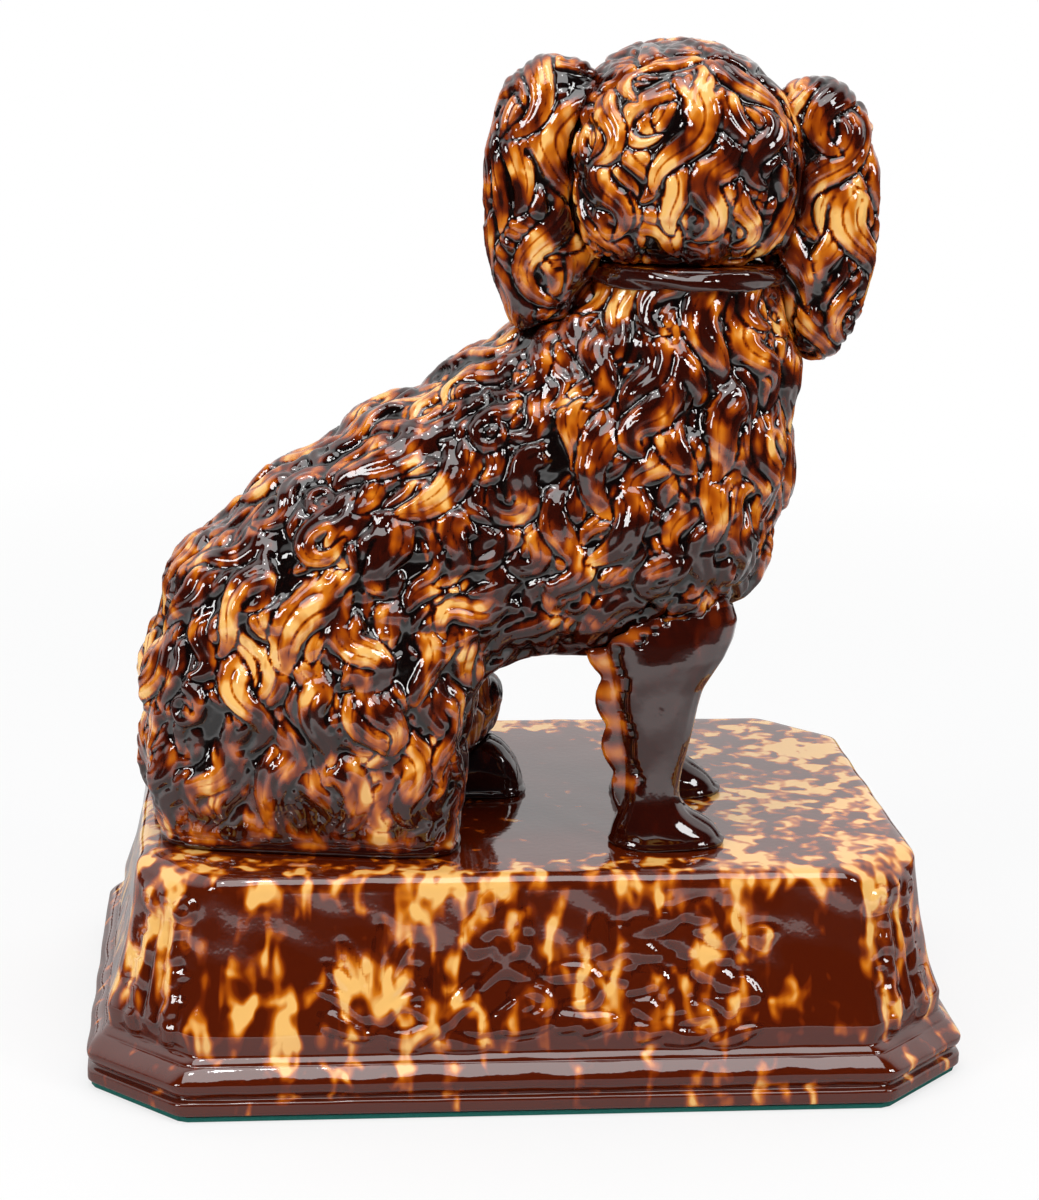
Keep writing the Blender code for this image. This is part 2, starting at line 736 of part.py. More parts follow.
def ear_rows():
    """(share of the length, lean, share of the half width, share of the half depth) down an ear."""
    return [
        (0.000, 0.0045, 0.25, 0.30),
        (0.030, 0.0050, 0.60, 0.62),
        (0.090, 0.0050, 0.96, 0.85),
        (0.180, 0.0034, 1.06, 0.97),
        (0.320, 0.0008, 1.02, 1.03),
        (0.480, 0.0000, 1.00, 1.06),
        (0.640, 0.0000, 0.94, 1.02),
        (0.790, 0.0010, 0.85, 0.92),
        (0.900, 0.0020, 0.70, 0.76),
        (0.965, 0.0020, 0.47, 0.54),
        (1.000, 0.0018, 0.20, 0.26),
    ]


def make_ear(name, side, reach, top, finish):
    """A thick drop of clay, luted at its root and hanging clear below. Side -1 is towards the rump."""
    rings = []
    for down, lean, wide, deep in ear_rows():
        ring = []
        for i in range(EAR_RING):
            angle = 2 * math.pi * i / EAR_RING
            x = HEAD_X + side * (reach - lean) + EAR_HALF_WIDTH * wide * math.cos(angle)
            y = EAR_Y + EAR_HALF_DEPTH * deep * math.sin(angle)
            ring.append(seated(x, y, top - EAR_LENGTH * down))
        rings.append(ring)
    return skin(name, rings, finish)


# Forelegs


def leg_rows():
    """(back x, back z, front x, front z, half width) down the leg and forward through the paw."""
    toe = PAW_TOE_X
    heel = PAW_HEEL_X
    ankle_back = ANKLE_X - ANKLE_HALF_LENGTH
    ankle_front = ANKLE_X + ANKLE_HALF_LENGTH
    elbow_back = ELBOW_X - ELBOW_HALF_LENGTH
    elbow_front = ELBOW_X + ELBOW_HALF_LENGTH
    top = LEG_HEIGHT
    top_width = LEG_TOP_HALF_WIDTH
    return [
        (elbow_back + 0.0090, top, elbow_front - 0.0050, top, top_width - 0.0040),
        (elbow_back + 0.0020, top - 0.0090, elbow_front - 0.0010, top - 0.0090, top_width - 0.0010),
        (elbow_back + 0.0025, top - 0.0190, elbow_front - 0.0040, top - 0.0190, top_width),
        (ankle_back - 0.0040, 0.0410, ankle_front + 0.0055, 0.0410, ANKLE_HALF_WIDTH + 0.0012),
        (ankle_back - 0.0020, 0.0310, ankle_front + 0.0030, 0.0310, ANKLE_HALF_WIDTH + 0.0005),
        (ankle_back - 0.0003, 0.0200, ankle_front + 0.0006, 0.0200, ANKLE_HALF_WIDTH),
        (ankle_back - 0.0004, 0.0115, ankle_front, PAW_HEIGHT + 0.0035, ANKLE_HALF_WIDTH),
        (heel + 0.0008, 0.0048, ankle_front + 0.0018, PAW_HEIGHT, PAW_HALF_WIDTH - 0.0008),
        (heel + 0.0010, -0.0010, ankle_front + 0.0050, PAW_HEIGHT - 0.0020, PAW_HALF_WIDTH),
        (heel + 0.0120, -0.0020, ankle_front + 0.0085, PAW_HEIGHT - 0.0048, PAW_HALF_WIDTH - 0.0003),
        (toe - 0.0080, -0.0020, toe - 0.0010, PAW_HEIGHT - 0.0076, PAW_HALF_WIDTH - 0.0028),
        (toe - 0.0032, -0.0010, toe, 0.0012, PAW_HALF_WIDTH - 0.0062),
    ]


def make_foreleg(name, side, finish):
    shift = LEFT_LEG_LEAD if side > 0 else 0.0
    middle_y = side * FORELEG_SPACING / 2
    rings = []
    for back_x, back_z, front_x, front_z, half_width in smooth_rows(leg_rows(), STATIONS_PER_SPAN):
        ring = []
        for i in range(LEG_RING):
            angle = 2 * math.pi * i / LEG_RING
            along = (1 + math.cos(angle)) / 2
            x = back_x + (front_x - back_x) * along + shift
            z = max(back_z + (front_z - back_z) * along, 0.0)
            ring.append(seated(x, middle_y + half_width * math.sin(angle), z))
        rings.append(ring)
    return skin(name, rings, finish)


def make_feather(name, side, finish):
    """The fringe of hair down the back of a foreleg: a thin ribbon with a lobed edge, sunk in the leg."""
    shift = LEFT_LEG_LEAD if side > 0 else 0.0
    middle_y = side * FORELEG_SPACING / 2
    root_x = ANKLE_X - ANKLE_HALF_LENGTH / 2 + shift
    bottom = PAW_HEIGHT * 0.6
    top = LEG_HEIGHT - 0.0120
    rings = []
    for step in range(FEATHER_STEPS + 1):
        share = step / FEATHER_STEPS
        lobe = 0.80 + 0.20 * abs(math.sin(math.pi * FEATHER_LOBES * share))
        reach = (ANKLE_HALF_LENGTH / 2 + 0.0018 + FEATHER_REACH * share**0.8) * lobe
        thick = FEATHER_THICKNESS * (0.7 + 0.3 * share) / 2
        z = bottom + (top - bottom) * share
        edge_x = root_x - reach
        outline = (
            (root_x, -thick), (edge_x + thick, -thick), (edge_x, -thick * 0.4),
            (edge_x, thick * 0.4), (edge_x + thick, thick), (root_x, thick),
        )
        rings.append([seated(x, middle_y + y, z) for x, y in outline])
    return cutter(name, rings, finish)


def join(piece, extra):
    step = piece.modifiers.new("Join " + extra.name, "BOOLEAN")
    step.operation = "UNION"
    step.solver = "EXACT"
    step.object = extra


# Hind paw and tail


def make_hind_paw(finish):
    """The left hind paw, which comes out from under the knee."""
    toe = HIND_PAW_TOE_X
    rows = [
        (toe - 0.0280, HIND_PAW_HEIGHT, HIND_PAW_HALF_WIDTH - 0.0005),
        (toe - 0.0165, HIND_PAW_HEIGHT, HIND_PAW_HALF_WIDTH),
        (toe - 0.0110, HIND_PAW_HEIGHT - 0.0025, HIND_PAW_HALF_WIDTH),
        (toe - 0.0060, HIND_PAW_HEIGHT - 0.0048, HIND_PAW_HALF_WIDTH - 0.0006),
        (toe - 0.0022, HIND_PAW_HEIGHT - 0.0100, HIND_PAW_HALF_WIDTH - 0.0022),
        (toe - 0.0003, 0.0030, HIND_PAW_HALF_WIDTH - 0.0052),
    ]
    rings = []
    for x, height, half_width in smooth_rows(rows, STATIONS_PER_SPAN):
        ring = []
        for i in range(LEG_RING):
            angle = 2 * math.pi * i / LEG_RING
            y = HIND_PAW_Y + half_width * power(math.cos(angle), 0.8)
            z = max(height * power(math.sin(angle), 0.8), 0.0)
            ring.append(seated(x, y, z))
        rings.append(ring)
    return skin("hind_paw_left", rings, finish)


def make_tail(finish):
    """The tail, laid round the foot of the rump on its left side and tapering to its tip."""
    seat = body_stations()[0]
    half_length = (seat.front_x - seat.back_x) / 2
    middle_x = (seat.front_x + seat.back_x) / 2
    rings = []
    for step in range(TAIL_STEPS + 1):
        share = step / TAIL_STEPS
        angle = math.radians(TAIL_ROOT_ANGLE + (TAIL_TIP_ANGLE - TAIL_ROOT_ANGLE) * share)
        taper = TAIL_RADIUS + (TAIL_TIP_RADIUS - TAIL_RADIUS) * share**1.4
        radius = taper * min(1.0, TAIL_ROOT_SHARE + TAIL_SWELL * share)
        outward = Vector((math.cos(angle), math.sin(angle), 0)).normalized()
        along = power(math.cos(angle), 2 / TAIL_SQUARENESS)
        across = power(math.sin(angle), 2 / TAIL_SQUARENESS)
        half_width = seat.half_width * (1 + seat.flare * along)
        centre = Vector((middle_x + half_length * along, half_width * across, 0))
        centre += outward * (radius - TAIL_SINK)
        ring = []
        for i in range(TAIL_RING):
            turn = 2 * math.pi * i / TAIL_RING
            point = centre + outward * radius * math.cos(turn)
            z = radius * (TAIL_LIFT + TAIL_HALF_HEIGHT * math.sin(turn))
            ring.append(seated(point.x, point.y, max(z, 0.0)))
        rings.append(ring)
    return skin("tail", rings, finish)


def main():
    clear_scene()
    brown = glaze("rockingham_glaze", (0.22, 0.075, 0.018))
    dark = glaze("dark_glaze", (0.075, 0.022, 0.010))
    amber = glaze("amber_glaze", (0.36, 0.15, 0.035))
    felt = glaze("green_felt", (0.01, 0.16, 0.13), 0.95)

    make_plinth(brown)
    make_felt(felt)
    make_body_half("body_right_half", -1, brown)
    make_body_half("body_left_half", 1, brown)
    collar = skin("collar", collar_rings(0.0), dark, closed_loop=True)
    make_head_back(amber)
    make_head_front(brown)

    body = body_cutter(brown)
    head = head_cutter(brown)
    cut(collar, body)
    band = cutter("collar clearance", collar_rings(SLIP), dark, closed_loop=True)
    ears = (("ear_left", -1, LEFT_EAR_REACH, LEFT_EAR_TOP), ("ear_right", 1, RIGHT_EAR_REACH, RIGHT_EAR_TOP))
    for name, side, reach, top in ears:
        ear = make_ear(name, side, reach, top, amber)
        cut(ear, head, body, band)
    for name, side in (("foreleg_right", -1), ("foreleg_left", 1)):
        leg = make_foreleg(name, side, dark)
        join(leg, make_feather(name + " feather", side, dark))
        cut(leg, body)
    cut(make_hind_paw(dark), body)
    cut(make_tail(brown), body)


main()
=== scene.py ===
"""The finished look of a glazed pottery spaniel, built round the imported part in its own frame."""

import math
from collections import namedtuple

import bmesh
import bpy
import numpy as np
from mathutils import Matrix, Vector
from mathutils.bvhtree import BVHTree


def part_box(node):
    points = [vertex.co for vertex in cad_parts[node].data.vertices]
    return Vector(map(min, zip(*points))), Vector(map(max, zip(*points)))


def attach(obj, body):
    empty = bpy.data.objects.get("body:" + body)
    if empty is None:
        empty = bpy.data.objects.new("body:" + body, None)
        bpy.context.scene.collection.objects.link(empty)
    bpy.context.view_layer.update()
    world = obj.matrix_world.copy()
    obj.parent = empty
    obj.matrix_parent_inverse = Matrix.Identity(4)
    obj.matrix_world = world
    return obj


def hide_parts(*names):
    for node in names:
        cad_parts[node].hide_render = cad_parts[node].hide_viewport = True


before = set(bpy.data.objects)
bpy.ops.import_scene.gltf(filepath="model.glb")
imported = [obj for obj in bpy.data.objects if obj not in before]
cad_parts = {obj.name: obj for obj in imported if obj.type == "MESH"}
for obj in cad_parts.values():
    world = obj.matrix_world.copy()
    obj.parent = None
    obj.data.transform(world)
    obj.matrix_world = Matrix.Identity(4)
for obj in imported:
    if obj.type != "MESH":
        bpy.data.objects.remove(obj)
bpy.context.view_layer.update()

MM = 0.001

# Places and sizes in metres, most of which the part's source has too
MEDIAN_Y = -0.0230
SEAT_Z = 0.0591
NECK_HEIGHT = 0.1477
HEAD_X = 0.0358
HEAD_SEAM_Y = -0.0160
PLINTH_FOOT_Z = 0.0015
PLINTH_HEIGHT = 0.0573
FOOT_LENGTH = 0.2250
FOOT_WIDTH = 0.1650
FOOT_CANT = 0.0233
TOP_CANT = 0.0190
BAND_HEIGHT = 0.0038
BAND_NOSE = 0.0009
GROOVE_DEPTH = 0.0016
GROOVE_HEIGHT = 0.0011
TORUS_HEIGHT = 0.0072
TORUS_DEPTH = 0.0034
TORUS_MIDDLE = 0.0031
FILLET_DEPTH = 0.0036
FILLET_HEIGHT = 0.0030
WALL_SETBACK = 0.0126
WALL_FLARE = 2.6
SHOULDER_RADIUS = 0.0040
LEAF_PROUD = 0.0026
LEAF_CURL = 0.0016
WALL_BOTTOM = BAND_HEIGHT + GROOVE_HEIGHT + TORUS_HEIGHT + FILLET_HEIGHT

# The face, in millimetres from the head's middle and the plinth's top
EYE_OUT = 11.5
EYE_Z = 182.7
EYE_RADIUS = 3.5
NOSE_Z = 171.0
MOUTH_Z = 161.5

# The camera, worked out from the plinth's corners
CAMERA_PLACE = Vector((-0.0703, -0.7237, 0.2923))
CAMERA_YAW = math.radians(5.600)
CAMERA_DROP = math.radians(13.932)
CAMERA_ROLL = math.radians(1.156)
CAMERA_LENS = 84.0
SENSOR = 36.0

# Mesh fineness, in metres
FULL_FINE = 0.00052
FINE = FULL_FINE
BODY_FINE = 0.00062
PLINTH_STEP = 0.00095
HALVES_OVERLAP = 0.0004
BROAD_VOXEL = 0.003
BROAD_ROUNDS = 1400

# The width of a strand of hair, the points on a lock's middle line, and the most places tried for locks
STRAND_WIDTH = 0.0038
SPINE_POINTS = 28
MOST_TRIED = 16000
SWING_SEED = 61

# Added to the distance from each named place, so that hair beside one turns slowly
HAIR_REACH = 0.004

# The step to each of the 27 cells round a cell, with the cell itself
AROUND = [(dx, dy, dz) for dx in (-1, 0, 1) for dy in (-1, 0, 1) for dz in (-1, 0, 1)]

Lock = namedtuple("Lock", "centre along across out spine headings length half_width strands lift tip")


def smoothstep(value, low, high):
    share = np.clip((value - low) / (high - low), 0.0, 1.0)
    return share * share * (3 - 2 * share)


def bump(away, reach):
    """1 where away is 0, falling off evenly on both sides."""
    return np.exp(-((away / reach) ** 2))


def unit(vectors):
    length = np.linalg.norm(vectors, axis=-1, keepdims=True)
    return vectors / np.maximum(length, 1e-12)


def above_seat(points):
    """Heights over the plinth's top, in millimetres."""
    return (points[:, 2] - SEAT_Z) / MM


# Meshes


def rows_of(items, name):
    flat = np.empty(len(items) * 3, np.float32)
    items.foreach_get(name, flat)
    return flat.reshape(-1, 3).astype(float)


def points_and_normals(mesh):
    return rows_of(mesh.vertices, "co"), rows_of(mesh.vertex_normals, "vector")


def move_points(mesh, points):
    mesh.vertices.foreach_set("co", points.astype(np.float32).ravel())
    mesh.update()


def raised(mesh, points, normals, height, crest, tone_and_shade):
    """Lifts the points by heights in millimetres, and stores what the material reads at each."""
    move_points(mesh, points + normals * height[:, None] * MM)
    for name, values in (("crest", crest), ("tone_and_shade", tone_and_shade)):
        layer = mesh.attributes.new(name, "FLOAT", "POINT")
        layer.data.foreach_set("value", values.astype(np.float32))
    mesh.shade_smooth()


def link(name, data):
    made = bpy.data.objects.new(name, data)
    bpy.context.scene.collection.objects.link(made)
    return made


def copied(name, cad_nodes, overlap_y=0.0):
    """One object holding copies of these nodes. Points near the median plane may cross it, so halves fuse."""
    shape = bmesh.new()
    for cad_node in cad_nodes:
        shape.from_mesh(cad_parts[cad_node].data)
    bmesh.ops.remove_doubles(shape, verts=shape.verts, dist=0.000001)
    for vert in shape.verts:
        off = vert.co.y - MEDIAN_Y
        if abs(off) < overlap_y:
            vert.co.y -= math.copysign(overlap_y, off)
    mesh = bpy.data.meshes.new(name)
    shape.to_mesh(mesh)
    shape.free()
    return link(name, mesh)


def evened(piece, voxel, rounds):
    """Small even faces all over, with the solid's facets smoothed away in rounds that suit full fineness."""
    remesh = piece.modifiers.new("even", "REMESH")
    remesh.mode = "VOXEL"
    remesh.voxel_size = voxel
    smooth = piece.modifiers.new("smooth", "SMOOTH")
    smooth.iterations = max(1, round(rounds * (FULL_FINE / voxel) ** 2))
    old = piece.data
    graph = bpy.context.evaluated_depsgraph_get()
    piece.data = bpy.data.meshes.new_from_object(piece.evaluated_get(graph))
    piece.data.name = piece.name
    piece.modifiers.clear()
    bpy.data.meshes.remove(old)
    return piece


def outer_shell(piece, low_z, high_z):
    """Keeps the outside of an open shell between two heights, and closes its ends."""
    shape = bmesh.new()
    shape.from_mesh(piece.data)
    for height, clear_outer in ((low_z, False), (high_z, True)):
        cells = shape.verts[:] + shape.edges[:] + shape.faces[:]
        bmesh.ops.bisect_plane(
            shape, geom=cells, plane_co=(0, 0, height), plane_no=(0, 0, 1),
            clear_outer=clear_outer, clear_inner=not clear_outer,
        )
    groups = []
    seen = set()
    for start in shape.verts:
        if start in seen:
            continue
        group = [start]
        seen.add(start)
        for vert in group:
            fresh = [edge.other_vert(vert) for edge in vert.link_edges if edge.other_vert(vert) not in seen]
            seen.update(fresh)
            group += fresh
        groups.append(group)
    keep = set(max(groups, key=lambda group: max(v.co.x for v in group) - min(v.co.x for v in group)))
    bmesh.ops.delete(shape, geom=[v for v in shape.verts if v not in keep], context="VERTS")
    rim = [edge for edge in shape.edges if edge.is_boundary]
    bmesh.ops.holes_fill(shape, edges=rim, sides=0)
    bmesh.ops.recalc_face_normals(shape, faces=shape.faces)
    shape.to_mesh(piece.data)
    shape.free()


def halved(piece, name, side):
    """The part of a closed mesh on one side of the median plane, closed again."""
    shape = bmesh.new()
    shape.from_mesh(piece.data)
    cells = shape.verts[:] + shape.edges[:] + shape.faces[:]
    done = bmesh.ops.bisect_plane(
        shape, geom=cells, plane_co=(0, MEDIAN_Y, 0), plane_no=(0, side, 0), clear_inner=True,
    )
    rim = [cell for cell in done["geom_cut"] if isinstance(cell, bmesh.types.BMEdge)]
    made = bmesh.ops.holes_fill(shape, edges=rim, sides=0)
    for face in made["faces"]:
        for edge in face.edges:
            edge.smooth = False
    mesh = bpy.data.meshes.new(name)
    shape.to_mesh(mesh)
    shape.free()
    return link(name, mesh)


# Locks of hair


def flow_at(place, normal, hairs):
    """The way hair runs here and its lock's size and curl, from the named places nearest to this one."""
    places, flows, sizes = hairs
    weight = 1.0 / (np.linalg.norm(place - places, axis=1) + HAIR_REACH) ** 3
    weight /= weight.sum()
    flow = weight @ flows
    flow = flow - normal * (flow @ normal)
    if np.linalg.norm(flow) < 1e-6:
        flow = np.cross(normal, (1.0, 0.0, 0.0))
    return unit(flow), *(weight @ sizes)


def scattered(points, candidates, spacing):
    """Points picked in the order given, none nearer to another than spacing."""
    kept = []
    cells = {}
    for index in candidates:
        place = points[index]
        cell = tuple(np.floor(place / spacing).astype(int))
        groups = [cells.get((cell[0] + dx, cell[1] + dy, cell[2] + dz), ()) for dx, dy, dz in AROUND]
        if all(np.linalg.norm(points[other] - place) >= spacing for group in groups for other in group):
            kept.append(index)
            cells.setdefault(cell, []).append(index)
    return kept


def swell_of(piece, points):
    """How far the points stand out of the piece's broad form."""
    broad = evened(link("broad_form", piece.data.copy()), BROAD_VOXEL, BROAD_ROUNDS)
    corners = [vert.co.copy() for vert in broad.data.vertices]
    tree = BVHTree.FromPolygons(corners, [tuple(face.vertices) for face in broad.data.polygons])
    found = np.zeros(len(points))
    for i, point in enumerate(points):
        place, normal, _, _ = tree.find_nearest(Vector(point))
        found[i] = (Vector(point) - place).dot(normal)
    bpy.data.meshes.remove(broad.data)
    return found


def spine_of(kind, length, turn):
    """A lock's middle line in its own plane, from root to tip, and its heading at each point."""
    share = np.linspace(0.0, 1.0, SPINE_POINTS)
    if kind == "wave":
        heading = 0.42 * turn * np.sin(2 * math.pi * (share + 0.1))
    elif kind == "comma":
        heading = turn * (share - 0.5)
    elif kind == "ess":
        heading = 0.65 * turn * (np.cos(2 * math.pi * share) + 0.1)
    elif kind == "hook":
        heading = turn * (1.35 * smoothstep(share, 0.25, 1.0) - 0.30)
    else:
        heading = turn * (2.3 * share**1.5 - 0.5)
    step = length / (SPINE_POINTS - 1)
    spine = np.column_stack([np.cumsum(np.cos(heading)), np.cumsum(np.sin(heading))]) * step
    return spine - spine.mean(axis=0), heading


def picked_kind(curl, chance, roll):
    """Curled hair has commas, hooks and rings, and the rest runs in waves."""
    if chance.random() > curl:
        return "wave" if roll < 0.6 else "ess"
    if roll < 0.40:
        return "comma"
    if roll < 0.62:
        return "ess"
    return "hook" if roll < 0.93 else "ring"


# How far each kind of lock turns, in radians, and its width as a share of a wave's
TURNS = {"wave": 1.5, "comma": 2.0, "ess": 1.5, "hook": 2.5, "ring": 3.0}
SLIMNESS = {"wave": 1.0, "comma": 1.0, "ess": 0.9, "hook": 0.72, "ring": 0.45}


def lock_at(place, out, flow, kind, length, half_width, turn, lift):
    """One lock laid on the surface at a place."""
    along = unit(flow - out * (flow @ out))
    across = np.cross(out, along)
    spine, headings = spine_of(kind, length, turn)
    half_width = half_width * SLIMNESS[kind]
    strands = max(1, round(2 * half_width / STRAND_WIDTH))
    tip = 0.45 if kind in ("wave", "comma") else 0.30
    return Lock(place, along, across, out, spine, headings, length, half_width, strands, lift, tip)


def grown_locks(points, normals, candidates, hairs, spacing, chance, wander, share, curled=1.0):
    """Locks set over a surface, the lower ones first so that the upper ones lie over them."""
    locks = []
    hairs = [np.array(column) for column in zip(*hairs)]
    picked = scattered(points, candidates, spacing)
    swings = ripple(points[picked], SWING_SEED, 34.0)
    choices = ripple(points[picked], SWING_SEED + 1, 30.0)
    for index, swing, choice in zip(picked, swings, choices):
        place = points[index]
        out = normals[index]
        flow, length, half_width, curl = flow_at(place, out, hairs)
        angle = chance.normal(0.0, wander)
        flow = math.cos(angle) * flow + math.sin(angle) * np.cross(out, flow)
        roll = np.clip(0.5 + 0.28 * choice + chance.normal(0.0, 0.20), 0.0, 1.0)
        kind = picked_kind(curl * curled, chance, roll)
        side = 1.0 if swing + chance.normal(0.0, 0.25) > 0 else -1.0
        turn = side * TURNS[kind] * chance.uniform(0.85, 1.15)
        length = share * length * chance.uniform(0.85, 1.15)
        half_width = share**0.7 * half_width * chance.uniform(0.85, 1.15)
        locks.append(lock_at(place, out, flow, kind, length, half_width, turn, chance.uniform(0.0, 0.3)))
    order = sorted(range(len(locks)), key=lambda i: locks[i].centre[2] + 0.006 * chance.random())
    return [locks[i] for i in order]


def shelved(points, cell):
    """The points sorted into cells, for quick searches near a place."""
    low = points.min(axis=0)
    place = np.floor((points - low) / cell).astype(np.int64)
    count = place.max(axis=0) + 1
    key = (place[:, 0] * count[1] + place[:, 1]) * count[2] + place[:, 2]
    order = np.argsort(key, kind="stable")
    sorted_key = key[order]

    def near(centre, reach):
        ends = np.array((centre - reach, centre + reach))
        first, last = np.clip(np.floor((ends - low) / cell).astype(int), 0, count - 1)
        found = []
        for x in range(first[0], last[0] + 1):
            for y in range(first[1], last[1] + 1):
                row = (x * count[1] + y) * count[2]
                start = np.searchsorted(sorted_key, row + first[2], "left")
                end = np.searchsorted(sorted_key, row + last[2], "right")
                found.append(order[start:end])
        return np.concatenate(found) if found else np.zeros(0, np.int64)

    return near


def lock_places(lock, offset):
    """How far along a lock and how far off its middle line each offset lies."""
    a = offset @ lock.along
    b = offset @ lock.across
    stretch = np.minimum(np.linalg.norm(offset, axis=1) / np.maximum(np.hypot(a, b), 1e-9), 1.5)
    flat = np.column_stack([a * stretch, b * stretch])
    away = ((flat[:, None, :] - lock.spine[None, :, :]) ** 2).sum(axis=2)
    nearest = away.argmin(axis=1)
    heading = lock.headings[nearest]
    off = flat - lock.spine[nearest]
    forward = off[:, 0] * np.cos(heading) + off[:, 1] * np.sin(heading)
    sideways = off[:, 1] * np.cos(heading) - off[:, 0] * np.sin(heading)
    return nearest * lock.length / (SPINE_POINTS - 1) + forward, sideways


def painted(points, normals, locks, tall, ground, moat_width=1.0, moat_depth=1.0, groove=0.44):
    """The relief in millimetres, and how near each point is to a strand's crest."""
    height = np.full(len(points), ground)
    crest = np.zeros(len(points))
    near_place = shelved(points, 0.006)
    for lock in locks:
        reach = np.hypot(*lock.spine.T).max() + lock.half_width + moat_width * MM
        near = near_place(lock.centre, reach)
        near = near[normals[near] @ lock.out > 0.15]
        if not len(near):
            continue
        s, t = lock_places(lock, points[near] - lock.centre)
        x = np.clip(s / lock.length, 0.0, 1.0)
        narrowed = 1 - (1 - lock.tip) * x**1.6
        ends = (1 - np.clip(1 - 4 * x, 0, 1) ** 3) ** 0.6 * (1 - x**9) ** 0.6
        width = np.maximum(lock.half_width * narrowed * ends, 1e-5)
        past = np.maximum(np.maximum(-s, s - lock.length), 0.0)
        beside = np.maximum(np.abs(t) - width, 0.0)
        outside = np.hypot(past, beside) / MM
        edge = np.where(past > 0, 1.0 + outside, np.abs(t) / width)
        moat = (edge >= 0.97) & (outside < moat_width)
        dip = (1 - (outside[moat] / moat_width) ** 2) * (0.2 + 0.8 * smoothstep(x[moat], 0.05, 0.40))
        cut = near[moat]
        height[cut] = np.maximum(height[cut] - moat_depth * dip, ground - 0.4)
        crest[cut] *= 1 - dip
        inside = edge < 1.0
        where = near[inside]
        e = edge[inside]
        share = width[inside] / lock.half_width
        dome = (1 - e**3.2) ** 0.55
        u = t[inside] / width[inside]
        ridge = np.abs(np.sin(math.pi * lock.strands * (u + 1) / 2)) ** 0.8
        full = tall * (0.45 + 0.55 * share)
        relief = ground + full * (dome * (1 - groove) + groove * dome**0.4 * ridge) + lock.lift * dome
        mask = smoothstep(1 - e, 0.0, 0.14) * (0.1 + 0.9 * smoothstep(x[inside], 0.0, 0.25))
        height[where] = height[where] * (1 - mask) + relief * mask
        crest[where] = crest[where] * (1 - mask) + mask * (0.15 + 0.85 * ridge) * dome**0.7
    return height, crest


def neighbours_mean(mesh, values, rounds):
    """Values evened out along the mesh's edges."""
    flat = np.empty(len(mesh.edges) * 2, np.int32)
    mesh.edges.foreach_get("vertices", flat)
    first, second = flat[0::2], flat[1::2]
    count = np.bincount(flat, minlength=len(values))
    for _ in range(rounds):
        total = np.bincount(first, values[second], len(values))
        total += np.bincount(second, values[first], len(values))
        values = 0.5 * values + 0.5 * total / np.maximum(count, 1)
    return values


def settled(points, normals, locks):
    """The locks moved to the nearest points of a surface and laid flat on it."""
    found = []
    for lock in locks:
        nearest = np.linalg.norm(points - lock.centre, axis=1).argmin()
        out = normals[nearest]
        along = unit(lock.along - out * (lock.along @ out))
        found.append(lock._replace(centre=points[nearest], out=out, along=along, across=np.cross(out, along)))
    return found


def ripple(points, seed, wavelength=11.0):
    """Slow waves from -1 to 1 or so, as in glaze that ran before it set."""
    chance = np.random.default_rng(seed)
    total = np.zeros(len(points))
    for _ in range(8):
        direction = unit(chance.normal(size=3))
        turns = 2 * math.pi / (wavelength * MM * chance.uniform(0.7, 1.6))
        total += np.sin(points @ direction * turns + chance.uniform(0, 2 * math.pi))
    return total / 2.8


def furred(piece, hairs, allowed=None, *, spacing, seed, tall, ground, wander, extra=None, lumped=False):
    """Raises locks of hair out of the piece's surface: small ones first, then the main ones over them."""
    mesh = piece.data
    points, normals = points_and_normals(mesh)
    may = np.ones(len(points)) if allowed is None else allowed(points, normals)
    chance = np.random.default_rng(seed)
    tried = chance.permutation(np.flatnonzero(may > 0.25))[:MOST_TRIED]
    under = grown_locks(points, normals, tried, hairs, spacing * 0.55, chance, 0.15, 0.95, 0.0)
    locks = [lock._replace(lift=-0.35 * tall) for lock in under]
    locks += grown_locks(points, normals, tried, hairs, spacing * 0.62, chance, wander, 0.85, 0.35)
    if lumped:
        swell = swell_of(piece, points[tried])
        tried = tried[np.argsort(-swell, kind="stable")]
    locks += grown_locks(points, normals, tried, hairs, spacing, chance, wander, 1.0)
    height, crest = painted(points, normals, locks, tall, ground)
    height = height * may
    crest = crest * may + 0.70 * (1 - may)
    tone_and_shade = np.zeros(len(points))
    if extra is not None:
        height, crest, tone_and_shade = extra(points, normals, height, crest)
    height = neighbours_mean(mesh, height, 4)
    raised(mesh, points, normals, height, neighbours_mean(mesh, crest, 1), tone_and_shade)


# Materials


def feed(tree, made, inputs):
    """Fills a node's inputs, each with a link from a socket or with a plain value."""
    for name, value in inputs.items():
        if isinstance(value, bpy.types.NodeSocket):
            tree.links.new(value, made.inputs[name])
        else:
            made.inputs[name].default_value = value
    return made


def node(tree, kind, inputs, **settings):
    made = tree.nodes.new("ShaderNode" + kind)
    for name, value in settings.items():
        setattr(made, name, value)
    return feed(tree, made, inputs)


def math_node(tree, operation, *values):
    return node(tree, "Math", dict(enumerate(values)), operation=operation).outputs[0]


def sum_of(tree, total, *terms):
    """A plain number plus sockets, each times its share."""
    for socket, share in terms:
        total = math_node(tree, "MULTIPLY_ADD", socket, share, total)
    return total


def mapped(tree, value, low, high, start=0.0, end=1.0, kind="LINEAR"):
    """Runs from start to end as the value goes from low to high."""
    inputs = {"Value": value, "From Min": low, "From Max": high, "To Min": start, "To Max": end}
    return node(tree, "MapRange", inputs, interpolation_type=kind).outputs["Result"]


def mixed(tree, share, first, second, output):
    """Leads a mix of two shaders to the tree's output."""
    both = node(tree, "MixShader", {0: share, 1: first.outputs[0], 2: second.outputs[0]})
    tree.links.new(both.outputs[0], tree.nodes[output].inputs["Surface"])


